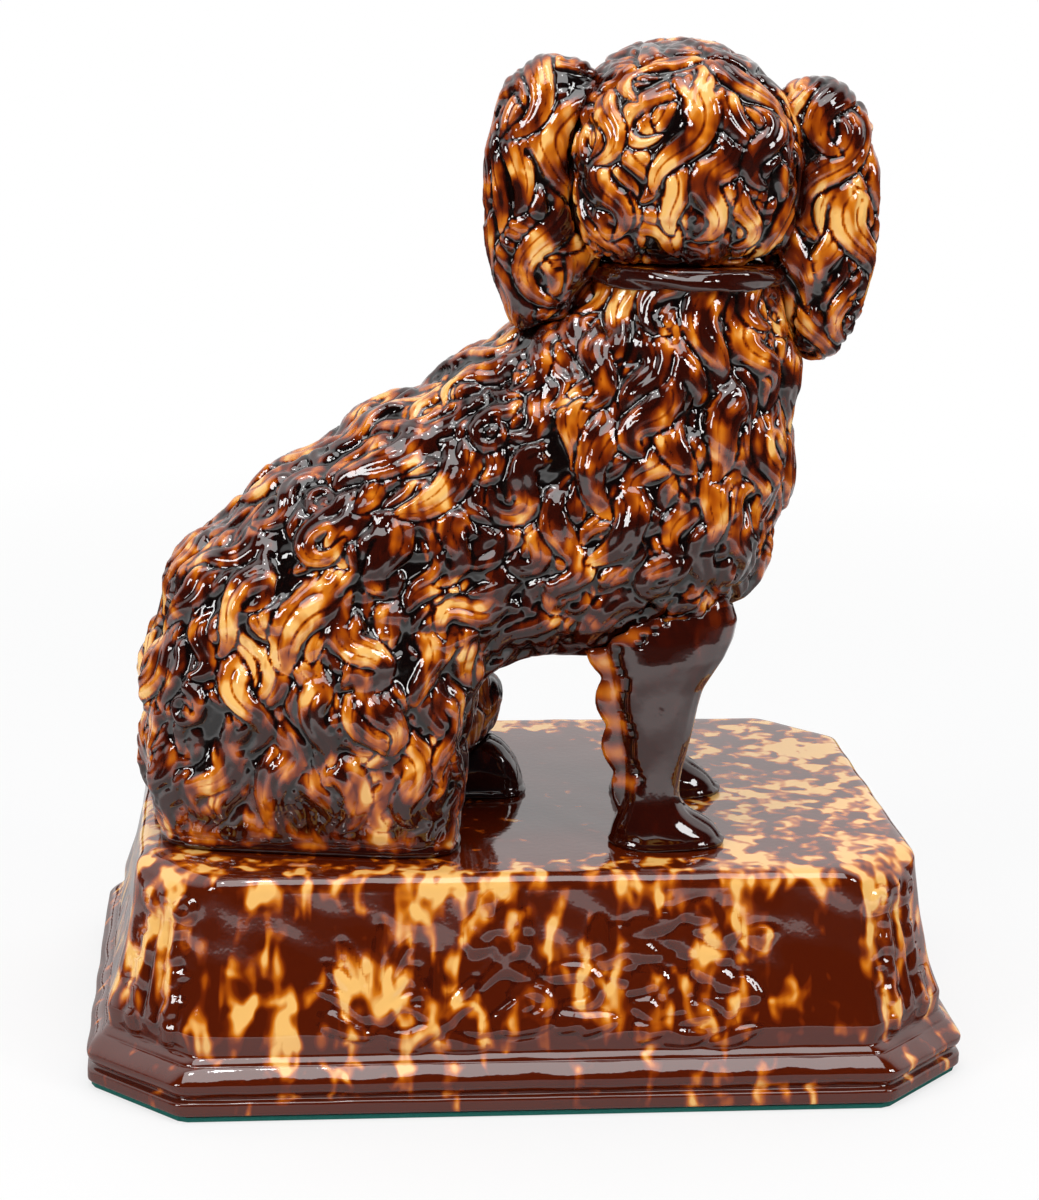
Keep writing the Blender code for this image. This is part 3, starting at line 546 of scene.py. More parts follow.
def ramp(tree, source, stops):
    made = node(tree, "ValToRGB", {"Fac": source})
    band = made.color_ramp
    while len(band.elements) < len(stops):
        band.elements.new(0.5)
    for element, (place, color) in zip(band.elements, stops):
        element.position = place
        element.color = (*color, 1.0)
    return made.outputs["Color"]


def noise(tree, size, stretch=(1.0, 1.0, 1.0), detail=2.0, distortion=0.0, offset=0.0):
    """Noise whose blots are about size millimetres across, times stretch along each axis."""
    spread = node(tree, "Mapping", {
        "Vector": node(tree, "TexCoord", {}).outputs["Object"],
        "Location": (offset, offset * 0.7, offset * 1.3),
        "Scale": [1.0 / (size * MM * each) for each in stretch],
    })
    inputs = {"Scale": 1.0, "Detail": detail, "Roughness": 0.5, "Distortion": distortion}
    return node(tree, "TexNoise", inputs | {"Vector": spread.outputs["Vector"]}).outputs["Fac"]


def new_material(name):
    made = bpy.data.materials.new(name)
    made.use_nodes = True
    return made, made.node_tree


def coated(tree, color, roughness, height, strength, more):
    """The main shader in this colour, with a fine unevenness from height."""
    uneven = node(tree, "Bump", {"Strength": strength, "Distance": 0.0002, "Height": height})
    inputs = {"Base Color": color, "Roughness": roughness, "Normal": uneven.outputs["Normal"]}
    feed(tree, tree.nodes["Principled BSDF"], inputs | more)


BLACK = (0.004, 0.0014, 0.0010)
UMBER = (0.050, 0.0042, 0.0008)
RUSSET = (0.180, 0.0200, 0.0012)
HONEY = (0.440, 0.0830, 0.0025)
AMBER = (0.720, 0.2100, 0.0100)
STRAW = (1.000, 0.5700, 0.1700)
WHITE = (1.0, 1.0, 1.0, 1.0)

SOFT = ((0.05, BLACK), (0.22, UMBER), (0.40, RUSSET), (0.58, HONEY), (0.76, AMBER), (0.97, STRAW))
SHARP = ((0.02, BLACK), (0.18, UMBER), (0.40, RUSSET), (0.56, HONEY), (0.68, AMBER), (0.86, STRAW))

# The crest value under which glaze pools black, and the one above which it is thin
GROOVE_CREST = 0.12
STRAND_CREST = 0.62
GLAZE_IOR = 1.80
GLAZE_ROUGHNESS = 0.05

# The size of the glaze's blots in millimetres
BLOT = 6.0


def glaze(
    name, crest_share, level, patch=2.6, drip=1.2, speck=1.6, spread=17.0, drop=4.2, least=0.15, stops=SOFT,
):
    """Glaze that pools dark in the hollows and breaks pale on the crests, with patches, blots and drips."""
    made, tree = new_material(name)
    crest = node(tree, "Attribute", {}, attribute_name="crest").outputs["Fac"]
    # tone_and_shade holds each piece's own glaze tone, and the painted shade that some pieces add
    tone_and_shade = node(tree, "Attribute", {}, attribute_name="tone_and_shade").outputs["Fac"]
    patches = noise(tree, spread, (1.0, 1.0, 1.2), 2.0, 0.4, 3.0)
    blots = noise(tree, BLOT, (1.0, 1.0, 1.4), 1.0, 0.6, 11.0)
    drips = noise(tree, drop, (1.0, 1.0, 3.6), 1.0, 0.4, 23.0)
    middle = level - 0.5 * (patch + speck + drip)
    mottle = sum_of(tree, middle, (patches, patch), (blots, speck), (drips, drip), (tone_and_shade, 1.0))
    held = math_node(tree, "MINIMUM", math_node(tree, "MAXIMUM", mottle, least), 1.0)
    ridge = mapped(tree, crest, GROOVE_CREST, STRAND_CREST, kind="SMOOTHSTEP")
    value = math_node(tree, "MULTIPLY", held, sum_of(tree, 1.0 - crest_share, (ridge, crest_share)))
    color = ramp(tree, value, stops)
    coated(tree, color, GLAZE_ROUGHNESS, noise(tree, 1.6, detail=1.0), 0.12, {"IOR": GLAZE_IOR})
    return made


def felt_material():
    made, tree = new_material("felt")
    fibres = noise(tree, 0.25, (1.0, 1.0, 0.6), 4.0, 0.5)
    color = ramp(tree, fibres, ((0.3, (0.004, 0.075, 0.062)), (0.7, (0.015, 0.21, 0.17))))
    coated(tree, color, 0.95, fibres, 0.6, {})
    return made


coat_glaze = glaze("coat_glaze", 0.92, 0.40)
head_glaze = glaze("head_glaze", 0.92, 0.52)
dark_glaze = glaze("leg_glaze", 0.60, 0.07, patch=0.7, drip=0.5, speck=0.4)
plinth_glaze = glaze(
    "plinth_glaze", 0.80, 0.33, patch=1.9, drip=2.7, spread=20.0, drop=5.6, least=0.25, stops=SHARP,
)


def finish(piece, material, cad_node):
    piece.data.materials.append(material)
    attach(piece, "root")
    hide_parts(cad_node)


# The body's coat


def hair(x, y, z, flow, length, half_width, curl):
    """A place over the plinth's top in millimetres, the hair's way there, and its lock's sizes and curl."""
    place = np.array((x * MM, MEDIAN_Y + y * MM, SEAT_Z + z * MM))
    return place, unit(np.array(flow, float)), (length * MM, half_width * MM, curl)


# x, y out from the median, z, the hair's x and z directions, length, half width, curl
FLANK_HAIRS = (
    (-60, 30, 100, -0.8, -0.6, 30, 4.6, 0.2),
    (-85, 25, 75, -0.55, -0.85, 30, 4.4, 0.12),
    (-97, 20, 45, -0.05, -1, 32, 4.4, 0.06),
    (-95, 28, 18, 0.05, -1, 26, 4.4, 0.15),
    (-60, 36, 60, 0.2, -1, 29, 6, 0.8),
    (-45, 36, 75, 0.3, -0.95, 28, 5.6, 0.8),
    (-40, 36, 40, 0.1, -1, 30, 6, 0.75),
    (-65, 36, 25, 0, -1, 26, 5.4, 0.75),
    (-22, 32, 40, 0.25, -1, 28, 4.6, 0.35),
    (-35, 32, 98, -0.55, -0.8, 28, 5.4, 0.8),
    (-10, 32, 85, -0.3, -0.95, 27, 5.2, 0.75),
    (-15, 30, 60, -0.6, -0.75, 24, 4.8, 0.6),
    (0, 25, 125, -0.5, -0.85, 28, 5.2, 0.65),
    (25, 34, 110, 0, -1, 29, 5.6, 0.7),
    (30, 34, 75, -0.1, -1, 25, 5.2, 0.75),
    (45, 30, 125, 0.1, -1, 33, 5, 0.12),
    (60, 20, 100, -0.1, -1, 34, 4.8, 0.08),
    (55, 22, 70, -0.35, -0.95, 26, 4.6, 0.4),
)
MEDIAN_HAIRS = (
    (-50, 0, 112, -0.85, -0.5, 34, 4, 0.02),
    (-92, 0, 72, -0.5, -0.9, 34, 4, 0.02),
    (-99, 0, 35, 0, -1, 32, 4, 0.05),
    (-5, 0, 128, -0.8, -0.6, 28, 3.8, 0.2),
    (69, 0, 100, 0, -1, 30, 4, 0.15),
    (50, 0, 52, -0.8, -0.6, 22, 3.8, 0.3),
    (-5, 0, 46, -1, 0, 20, 3.8, 0.3),
)


def hairs_from(table, side=1):
    return [hair(x, side * y, z, (flow_x, 0, flow_z), *size) for x, y, z, flow_x, flow_z, *size in table]


def body_hairs():
    return hairs_from(FLANK_HAIRS, -1) + hairs_from(FLANK_HAIRS) + hairs_from(MEDIAN_HAIRS)


def coat_allowed(points, normals):
    """Full relief on the flanks, less beside the collar, on the lowest 36 mm and under the belly."""
    local_z = above_seat(points)
    base = 0.30 + 0.25 * smoothstep(local_z, 3.0, 8.0) + 0.45 * smoothstep(local_z, 10.0, 36.0)
    collar = 1 - 0.9 * smoothstep(local_z, 139.0, 145.0)
    under = 1 - 0.7 * smoothstep(-normals[:, 2], 0.75, 0.97)
    return base * collar * under


def lip_and_belly_shade(points, normals, height, crest):
    """The thin lip round the foot of the haunch, where it is luted to the plinth, and painted shade under the
    belly, darker where the surface faces down.
    """
    local_z = above_seat(points)
    lip = 1 - smoothstep(local_z, 1.2, 2.4)
    cut = bump(local_z - 2.9, 0.6) * (local_z < 6)
    foot = 1 - smoothstep(local_z, 8.0, 17.0)
    # Painted shade: under is 1 where the surface faces down, as under the belly, and the colour darkens there
    under = smoothstep(-normals[:, 2], 0.10, 0.60)
    return height * (1 - lip) + 0.55 * lip - 0.7 * cut, crest, 0.06 * foot - 0.5 * lip - 0.5 * under


def make_body():
    whole = copied("body_whole", ("body_right_half", "body_left_half"), HALVES_OVERLAP)
    evened(whole, BODY_FINE, 32)
    outer_shell(whole, SEAT_Z + 0.0001, SEAT_Z + NECK_HEIGHT - 0.0004)
    relief = dict(tall=1.8, ground=-1.0, wander=0.26, extra=lip_and_belly_shade, lumped=True)
    furred(whole, body_hairs(), coat_allowed, spacing=0.0162, seed=7, **relief)
    near = halved(whole, "coat_right_side", -1)
    far = halved(whole, "coat_left_side", 1)
    bpy.data.meshes.remove(whole.data)
    finish(near, coat_glaze, "body_right_half")
    finish(far, coat_glaze, "body_left_half")


make_body()


# The head


# The cushion's hair, in the coat's columns
ROUNDEL_HAIRS = (
    (35, -29, 192, 0.05, -1, 32, 5, 0.1),
    (18, -27, 187, -0.6, -1, 30, 4.8, 0.15),
    (53, -27, 187, 0.6, -1, 30, 4.8, 0.15),
    (35, -29, 175, -0.4, -1, 32, 5.6, 0.3),
    (48, -28, 170, -0.3, -1, 30, 5.6, 0.5),
    (15, -26, 168, 0.2, -1, 30, 5, 0.15),
    (25, -28, 160, 0.6, -0.8, 28, 5.2, 0.4),
    (52, -27, 160, -0.6, -0.8, 28, 5.2, 0.4),
    (35, -26, 151, 1, -0.1, 26, 4, 0.1),
)
ROUNDEL_Z = 173.1
ROUNDEL_INSIDE = 22.5
CROWN_Z = 174.0
CROWN_INSIDE = 24.0


def make_head_back():
    piece = evened(copied("head_cushion", ("head_back",)), FINE, 22)

    def allowed(points, normals):
        back = smoothstep(-normals[:, 1], -0.05, 0.2)
        rim = smoothstep(HEAD_SEAM_Y - points[:, 1], 0.0012, 0.0040)
        away = np.hypot((points[:, 0] - HEAD_X) / MM, above_seat(points) - ROUNDEL_Z)
        inner = (normals[:, 1] > -0.1) & (away < ROUNDEL_INSIDE)
        return back * rim * (normals[:, 1] < 0.15) * (~inner)

    def rim(points, normals, height, crest):
        seam = bump((HEAD_SEAM_Y - points[:, 1]) / MM - 1.3, 1.0) * (normals[:, 1] < 0.5)
        return height + 0.8 * seam, np.maximum(crest, 0.55 * seam), 0 * height

    relief = dict(tall=1.8, ground=-0.9, wander=0.2, extra=rim)
    furred(piece, hairs_from(ROUNDEL_HAIRS), allowed, spacing=0.0160, seed=11, **relief)
    finish(piece, head_glaze, "head_back")


# The crown's hair on each side: x out from the middle, y, z, direction, length, half width, curl
CROWN_HAIRS = (
    (24, -5, 192, (0.6, 0.3, -0.8), 26, 4.2, 0.3),
    (28, 5, 175, (0.0, 0.4, -1.0), 24, 4.0, 0.4),
    (6, 18, 195, (0.4, 0.7, -0.7), 22, 3.8, 0.4),
    (21, 15, 160, (-0.1, 0.3, -1.0), 22, 3.8, 0.4),
)


def crown_hairs():
    found = [hair(36, 0, 203, (0.0, 1.0, 0.0), 27, 4.4, 0.20)]
    for x, y, z, flow, *size in CROWN_HAIRS:
        for side in (-1, 1):
            found.append(hair(36 + side * x, y, z, (side * flow[0], *flow[1:]), *size))
    return found


def face(points, normals, height, crest):
    """Eyes with lids and brows, a nose with nostrils, and the line of the mouth."""
    x, y, z = (points - (HEAD_X, MEDIAN_Y, SEAT_Z)).T / MM
    wide = np.abs(x)
    front = smoothstep(y, 14.0, 18.0) * smoothstep(normals[:, 1], 0.05, 0.30)
    muzzle = smoothstep(y, 26.0, 31.0)
    eye = np.hypot(wide - EYE_OUT, (z - EYE_Z) * 1.15)
    ball = np.sqrt(np.clip(1 - (eye / EYE_RADIUS) ** 2, 0, 1))
    brow = bump(np.hypot((wide - 10.0) / 3.2, z - 190.0), 1.9)
    furrow = bump(x, 1.3) * smoothstep(z, 176.0, 180.0) * (1 - smoothstep(z, 188.0, 192.0))
    lids = 0.9 * bump(eye - 4.7, 0.9) - 0.9 * bump(eye - 3.6, 0.40)
    height = height + front * (1.5 * ball + lids + brow - 0.5 * furrow)
    pad = np.hypot(x / 5.2, (z - NOSE_Z) / 3.6)
    tip = smoothstep(y, 34.0, 37.0)
    nostril = bump(np.hypot((wide - 2.4) / 1.0, (z - NOSE_Z + 0.6) / 0.8), 1.0)
    split = smoothstep(z, MOUTH_Z - 0.5, MOUTH_Z + 0.5) * (1 - smoothstep(z, NOSE_Z - 3.6, NOSE_Z - 2.6))
    nose = 1.5 * np.sqrt(np.clip(1 - pad**2, 0, 1)) - 1.3 * nostril
    height = height + tip * (nose - 0.8 * bump(x, 0.5) * split)
    line = MOUTH_Z - 0.018 * wide**2
    lip = bump(z - line - 3.2, 2.4) * smoothstep(wide, 1.0, 3.0)
    height = height + muzzle * (0.7 * lip - bump(z - line, 0.55))
    for row in range(3):
        for dot in range(4):
            away = np.hypot(y - (37.5 - 2.3 * dot - 0.7 * row), z - (MOUTH_Z + 2.6 + 1.9 * row))
            height = height - muzzle * 0.35 * bump(away, 0.45) * (wide > 6.0)
    dark = np.maximum(front * (eye < EYE_RADIUS + 0.3), tip * (pad < 1.02))
    calm = np.maximum(front * (z < 189.0), muzzle)
    crest = crest * (1 - calm) + calm * (0.45 + 0.55 * smoothstep(height, -0.5, 0.3))
    return height, crest, -0.9 * dark


def make_head_front():
    piece = evened(copied("head_crown_and_face", ("head_front",)), FINE, 14)

    def allowed(points, normals):
        local_y = (points[:, 1] - MEDIAN_Y) / MM
        local_z = above_seat(points)
        hairy = 1 - smoothstep(local_y, 15.0, 20.0) * (1 - smoothstep(local_z, 188.0, 194.0))
        away = np.hypot((points[:, 0] - HEAD_X) / MM, local_z - CROWN_Z)
        return hairy * (~((away < CROWN_INSIDE) & (local_y < 14.0)))

    relief = dict(tall=1.6, ground=-0.7, wander=0.20, extra=face)
    furred(piece, crown_hairs(), allowed, spacing=0.0140, seed=13, **relief)
    finish(piece, head_glaze, "head_front")


make_head_back()
make_head_front()


# The ears


def tucked(piece):
    """Swells the ear's inner side towards the neck, so that no gap shows between ear, head and collar."""
    points, normals = points_and_normals(piece.data)
    inward = np.sign(HEAD_X - points[:, 0].mean())
    facing = smoothstep(normals[:, 0] * inward, 0.0, 0.7)
    push = 5.0 * bump(above_seat(points) - 148.0, 7.5) * facing
    points[:, 0] += inward * push * MM
    move_points(piece.data, points)


# Length and half width in metres, and curl
EAR_LOCK = (0.0440, 0.0056, 0.12)


def make_ear(name, cad_node, seed):
    piece = evened(copied(name, (cad_node,)), FINE, 16)
    tucked(piece)
    low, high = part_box(cad_node)
    middle = (low + high) / 2
    hairs = []
    for share in (0.1, 0.35, 0.6, 0.85):
        z = low.z + (high.z - low.z) * share
        for side in (-1, 1):
            place = np.array((middle.x + side * 0.006, middle.y - 0.010, z))
            flow = unit(np.array((-side * 0.15, 0.0, -1.0)))
            hairs.append((place, flow, EAR_LOCK))
            hairs.append((place + (0, 0.020, 0), flow, EAR_LOCK))
    furred(piece, hairs, spacing=0.0165, seed=seed, tall=2.0, ground=-1.0, wander=0.14)
    finish(piece, head_glaze, cad_node)


make_ear("ear_towards_rump", "ear_left", 17)
make_ear("ear_towards_chest", "ear_right", 19)


# Collar, legs, paws and tail


def plain(name, cad_node, rounds, shaped):
    """A smooth dark piece, with what shaped adds in millimetres."""
    piece = evened(copied(name, (cad_node,)), FINE, rounds)
    points, normals = points_and_normals(piece.data)
    raised(piece.data, points, normals, *shaped(points, normals))
    finish(piece, dark_glaze, cad_node)


def band(points, normals):
    """The collar's slow waves."""
    x, y, z = (points - points.mean(axis=0)).T
    wave = np.sin(6 * np.arctan2(y, x) + 900 * z)
    return 0.16 * ripple(points, 37) + 0.5 * wave, np.ones(len(points)), np.full(len(points), -0.06)


def toe_lines(points, normals, ahead, middle, spacing, width):
    """The lines between a paw's toes."""
    aside = (points[:, 1] - middle) / MM
    lines = sum(bump(aside - offset, width) for offset in (-spacing, 0.0, spacing))
    return lines * ahead * smoothstep(normals[:, 2], -0.2, 0.3)


def leg(points, normals):
    """The amber fringe down the back of a foreleg, its toes and the glaze pooled round its paw."""
    x = points[:, 0]
    local_z = above_seat(points)
    back = np.full(len(points), np.inf)
    level = np.round(local_z / 2).astype(int)
    for here in (level == each for each in np.unique(level)):
        back[here] = x[here].min()
    behind = (x - back) / MM
    length = smoothstep(local_z, 12.0, 17.0) * (1 - smoothstep(local_z, 58.0, 66.0))
    fringe = (1 - smoothstep(behind, 4.8, 6.6)) * length
    groove = bump(behind - 6.6, 0.8) * smoothstep(local_z, 14.0, 18.0)
    lobes = 0.5 + 0.5 * np.cos(2 * math.pi * local_z / 8.0)
    ahead = (1 - smoothstep((x.max() - x) / MM, 9.0, 13.0)) * (local_z < 10.0)
    lines = toe_lines(points, normals, ahead, points[ahead > 0.5, 1].mean(), 3.4, 0.55)
    pool = 1 - smoothstep(local_z, 0.7, 2.0)
    height = 0.22 * ripple(points, 41) - 0.8 * groove - 0.6 * lines + 1.1 * pool
    return height, 1 - 0.9 * groove, fringe * (0.22 + 0.45 * lobes) - 0.3 * pool


def paw(points, normals):
    """The hind paw's toes, and the glaze pooled round it."""
    x = points[:, 0]
    pool = 1 - smoothstep(above_seat(points), 0.7, 2.0)
    ahead = 1 - smoothstep((x.max() - x) / MM, 9.0, 14.0)
    lines = toe_lines(points, normals, ahead, points[:, 1].mean(), 3.6, 0.6)
    return 0.15 * ripple(points, 43) - 0.7 * lines + 0.9 * pool, np.ones(len(points)), -0.3 * pool


plain("collar_band", "collar", 6, band)
plain("foreleg_near", "foreleg_right", 14, leg)
plain("foreleg_far", "foreleg_left", 14, leg)
plain("hind_paw_far", "hind_paw_left", 10, paw)


def make_tail():
    piece = evened(copied("tail_brush", ("tail",)), FINE, 10)
    hairs = [
        hair(-95, 15, 8, (0.3, 1.0, -0.2), 18, 2.6, 0.30),
        hair(-80, 34, 8, (1.0, 0.2, -0.1), 18, 2.6, 0.30),
        hair(-50, 36, 6, (1.0, 0.0, -0.1), 18, 2.4, 0.30),
    ]
    furred(piece, hairs, spacing=0.0070, seed=29, tall=1.5, ground=-0.8, wander=0.2)
    finish(piece, coat_glaze, "tail")


make_tail()


# The plinth


# The height over the foot at which the corner leaves begin
LEAF_FOOT = 0.0150

# The arcs over the torus and up to the wall: radius, first and last angle in degrees, and count of points
TORUS_ARCS = ((0.0012, 0, 34, 4), (0.0120, 34, 54, 6), (0.0008, 54, 90, 3))
FILLET_ARC = (0.0070, 36, 54, 5)


def sloped(start, radius, first, last, count):
    """Points of an arc from an (inset, height), whose slope turns between two angles, in degrees."""
    turns = np.radians(np.linspace(first, last, count))
    insets = start[0] + radius * (np.cos(turns[0]) - np.cos(turns))
    heights = start[1] + radius * (np.sin(turns) - np.sin(turns[0]))
    return list(zip(insets, heights))[1:]


def plinth_profile():
    """(inset, height) from the foot to the top, finely stepped. The last one is the top's edge."""
    found = [(BAND_NOSE, 0.0)] + sloped((BAND_NOSE, 0.0), -BAND_NOSE, 90, 180, 5)
    found += [(0.0, height) for height in np.linspace(BAND_NOSE, BAND_HEIGHT - BAND_NOSE, 5)[1:]]
    found += sloped(found[-1], BAND_NOSE, 0, 90, 5)
    found += [(GROOVE_DEPTH, BAND_HEIGHT + GROOVE_HEIGHT * share) for share in (0.35, 0.65)]
    torus = BAND_HEIGHT + GROOVE_HEIGHT
    for angle in np.radians(np.linspace(-50, 0, 5)):
        height = torus + TORUS_MIDDLE * (1 + math.sin(angle) / 0.77)
        found.append((TORUS_DEPTH * (1 - math.cos(angle)), height))
    for radius, first, last, count in TORUS_ARCS:
        found += sloped(found[-1], radius, first, last, count)
    found.append((found[-1][0] + 0.00005, found[-1][1] + 0.0003))
    found += sloped(found[-1], *FILLET_ARC)
    wall_foot = found[-1][0]
    found.append((wall_foot, (found[-1][1] + WALL_BOTTOM) / 2))
    high = PLINTH_HEIGHT - SHOULDER_RADIUS
    for share in np.linspace(0, 1, 54):
        rise = share**1.15
        flared = 1 - (1 - rise) ** WALL_FLARE
        inset = FILLET_DEPTH + (WALL_SETBACK - FILLET_DEPTH) * (flared + rise) / 2
        found.append((max(wall_foot, inset), WALL_BOTTOM + (high - WALL_BOTTOM) * rise))
    return found + sloped((WALL_SETBACK, high), SHOULDER_RADIUS, 0, 90, 10)


PROFILE = np.array(plinth_profile())


def cant_at(height):
    return FOOT_CANT + (TOP_CANT - FOOT_CANT) * height / PLINTH_HEIGHT


def plinth_corners(inset, height):
    half_x = FOOT_LENGTH / 2 - inset
    half_y = FOOT_WIDTH / 2 - inset
    corners = []
    for sign_x, sign_y in ((1, -1), (1, 1), (-1, 1), (-1, -1)):
        long_end = (sign_x * (half_x - cant_at(height)), sign_y * half_y)
        short_end = (sign_x * half_x, sign_y * (half_y - cant_at(height)))
        corners += [long_end, short_end] if sign_x * sign_y < 0 else [short_end, long_end]
    return np.array(corners)


def plinth_columns():
    """(side, share along it) for each column round the plinth."""
    corners = plinth_corners(WALL_SETBACK / 2, PLINTH_HEIGHT / 2)
    columns = []
    for side in range(8):
        length = np.linalg.norm(corners[(side + 1) % 8] - corners[side])
        count = max(8, round(length / PLINTH_STEP))
        columns += [(side, i / count) for i in range(count)]
    return columns


def leaf_swell(height):
    share = (height - WALL_BOTTOM) / (PLINTH_HEIGHT - SHOULDER_RADIUS / 2 - WALL_BOTTOM)
    share = np.clip(share, 0.0, 1.0)
    blade = LEAF_PROUD * np.sin(math.pi * share) ** 0.5
    return blade * (0.6 + 0.4 * share) + LEAF_CURL * bump(share - 0.88, 0.09)


def wall_inset(height):
    return np.interp(height, PROFILE[:, 1], PROFILE[:, 0])


def wall_lock(x, sign_y, z, angle, length, half_width, turn, kind="comma"):
    """A blade, scroll or lump on a long wall, in millimetres, heading this many degrees up from level."""
    height = z * MM
    place = np.array((x * MM, sign_y * (FOOT_WIDTH / 2 - wall_inset(height)), PLINTH_FOOT_Z + height))
    out = unit(np.array((0.0, sign_y, 0.25)))
    flow = np.array((math.cos(math.radians(angle)), 0.0, math.sin(math.radians(angle))))
    return lock_at(place, out, flow, kind, length * MM, half_width * MM, turn, 0.0)


def tuft(x, sign_y, low, tall, count, chance):
    """Blades of grass that fan out of one place."""
    found = []
    for share in np.linspace(-1, 1, count):
        lean = 52.0 * share + chance.uniform(-7, 7)
        length = tall * (1.0 - 0.35 * abs(share)) * chance.uniform(0.8, 1.1)
        aside = x + 0.5 * length * math.sin(math.radians(lean))
        z = low + 0.5 * length * math.cos(math.radians(lean))
        found.append(wall_lock(aside, sign_y, z, 90 - lean, length, 1.7, -0.9 * share))
    return found


def foliage(sign_y):
    """Tufts of grass, scrolls and a bush over broken ground, on one long wall."""
    chance = np.random.default_rng(31)
    found = []
    for x in np.arange(-48.0, 60.0, 11.0):
        z = 17.5 + chance.uniform(-2.0, 4.0)
        angle = chance.uniform(-30, 30)
        length = chance.uniform(9.0, 17.0)
        x += chance.uniform(-4, 4)
        found.append(wall_lock(x, sign_y, z, angle, length, 2.9, chance.uniform(-1.2, 1.2)))
    for x, sign, size in ((-8.0, 1, 1.0), (10.0, -1, 0.8), (-1.0, -1, 0.6)):
        z = 29.0 + chance.uniform(-3.0, 3.0)
        angle = 60 * sign + 20
        found.append(wall_lock(x, sign_y, z, angle, 34.0 * size, 3.6 * size + 0.6, 2.6 * sign, "hook"))
    found += tuft(-41.0, sign_y, 21.0, 25.0, 7, chance)
    found += tuft(-24.0, sign_y, 20.0, 19.0, 5, chance)
    for _ in range(34):
        turn = chance.uniform(0, 2 * math.pi)
        away = math.sqrt(chance.uniform(0, 1))
        x = 37.0 + 21.0 * away * math.cos(turn)
        z = 35.0 + 13.0 * away * math.sin(turn)
        angle = chance.uniform(0, 360)
        length = chance.uniform(5.5, 9.0)
        found.append(wall_lock(x, sign_y, z, angle, length, 3.2, chance.uniform(-1.5, 1.5)))
    for _ in range(12):
        x = chance.uniform(-18.0, 18.0)
        z = chance.uniform(36.0, 50.0)
        angle = chance.uniform(40, 140)
        length = chance.uniform(7, 12)
        found.append(wall_lock(x, sign_y, z, angle, length, 3.0, chance.uniform(-1, 1)))
    return found


def corner_leaf(sign_x, sign_y):
    """An acanthus leaf up one canted corner: a rib, pairs of leaflets and two curls at the top."""
    out = unit(np.array((sign_x, sign_y, 0.30)))
    level = unit(np.cross(out, (0.0, 0.0, 1.0)))

    def spot(height, aside):
        back = wall_inset(height * MM) + cant_at(height * MM) / 2
        x = sign_x * (FOOT_LENGTH / 2 - back)
        y = sign_y * (FOOT_WIDTH / 2 - back)
        return np.array((x, y, PLINTH_FOOT_Z + height * MM)) + level * aside * MM

    found = []
    for pair in range(5):
        height = 20.0 + 6.4 * pair
        for side in (-1, 1):
            flow = 0.42 * side * level + np.array((0.0, 0.0, 0.90))
            length = (19.0 - 1.6 * pair) * MM
            place = spot(height, side * (6.2 - 0.5 * pair))
            found.append(lock_at(place, out, flow, "ess", length, 2.9 * MM, side * 1.2, 0.1 * pair))
    up = np.array((0.0, 0.0, 1.0))
    found.append(lock_at(spot(32.0, 0.0), out, up, "comma", 0.034, 1.6 * MM, 0.0, 0.3))
    for side in (-1, 1):
        flow = 0.8 * side * level + 0.5 * up
        found.append(lock_at(spot(48.5, side * 5.0), out, flow, "hook", 0.015, 2.6 * MM, -side * 2.6, 0.2))
    return found


def plinth_tone_and_painted_top_light(points, normals):
    """Paler on the shoulder's edge, dark on the foot, and painted light and shade on the top: lighter near
    its edges and its +x end, darker in the middle.
    """
    x, y, z = (points - (0, 0, PLINTH_FOOT_Z)).T / MM
    top = smoothstep(normals[:, 2], 0.90, 0.99) * (z > 50)
    # Painted light and shade on the top: lighter near its edges and its +x end, darker in the middle
    painted_edge_light = smoothstep(-y, 50.0, 62.0) + smoothstep(y, 40.0, 60.0) + smoothstep(-x, 75.0, 95.0)
    level = -0.25 + 0.70 * np.clip(painted_edge_light + smoothstep(x, 30.0, 62.0), 0, 1)
    shoulder = bump(z - 55.0, 2.6) * (1 - top)
    foot = 1 - smoothstep(z, 12.0, 17.0)
    return (0.22 * shoulder - 0.34 * foot) * (1 - top) + (level - 0.27) * top


def plinth_mesh():
    """The plinth's closed skin: a ring of points for each row of the profile, and rings across the top."""
    side, share = np.array(plinth_columns()).T
    side = side.astype(int)
    across = np.where(side % 2 == 0, 1 - np.abs(2 * share - 1), 0.0)
    share = share[:, None]
    rows = []
    for inset, height in PROFILE:
        corners = plinth_corners(inset, height)
        first = corners[side]
        second = corners[(side + 1) % 8]
        ring = first * (1 - share) + second * share
        for _ in range(4):
            ring = 0.5 * ring + 0.25 * (np.roll(ring, 1, axis=0) + np.roll(ring, -1, axis=0))
        if height > LEAF_FOOT:
            ring = ring + unit(first + second) * (leaf_swell(height) * across**0.8)[:, None]
        rows.append(np.column_stack([ring, np.full(len(ring), PLINTH_FOOT_Z + height)]))
    rows += [rows[-1] * (shrink, shrink, 1.0) for shrink in np.linspace(1, 0, 24)[1:-1]]
    count = len(side)
    faces = []
    for base in range(0, (len(rows) - 1) * count, count):
        for i in range(count):
            j = (i + 1) % count
            faces.append((base + i, base + j, base + count + j, base + count + i))
    faces.append(tuple(range(count))[::-1])
    last = (len(rows) - 1) * count
    faces.append(tuple(range(last, last + count)))
    mesh = bpy.data.meshes.new("plinth_and_leaves")
    mesh.from_pydata(np.concatenate(rows).tolist(), [], faces)
    mesh.update()
    return mesh


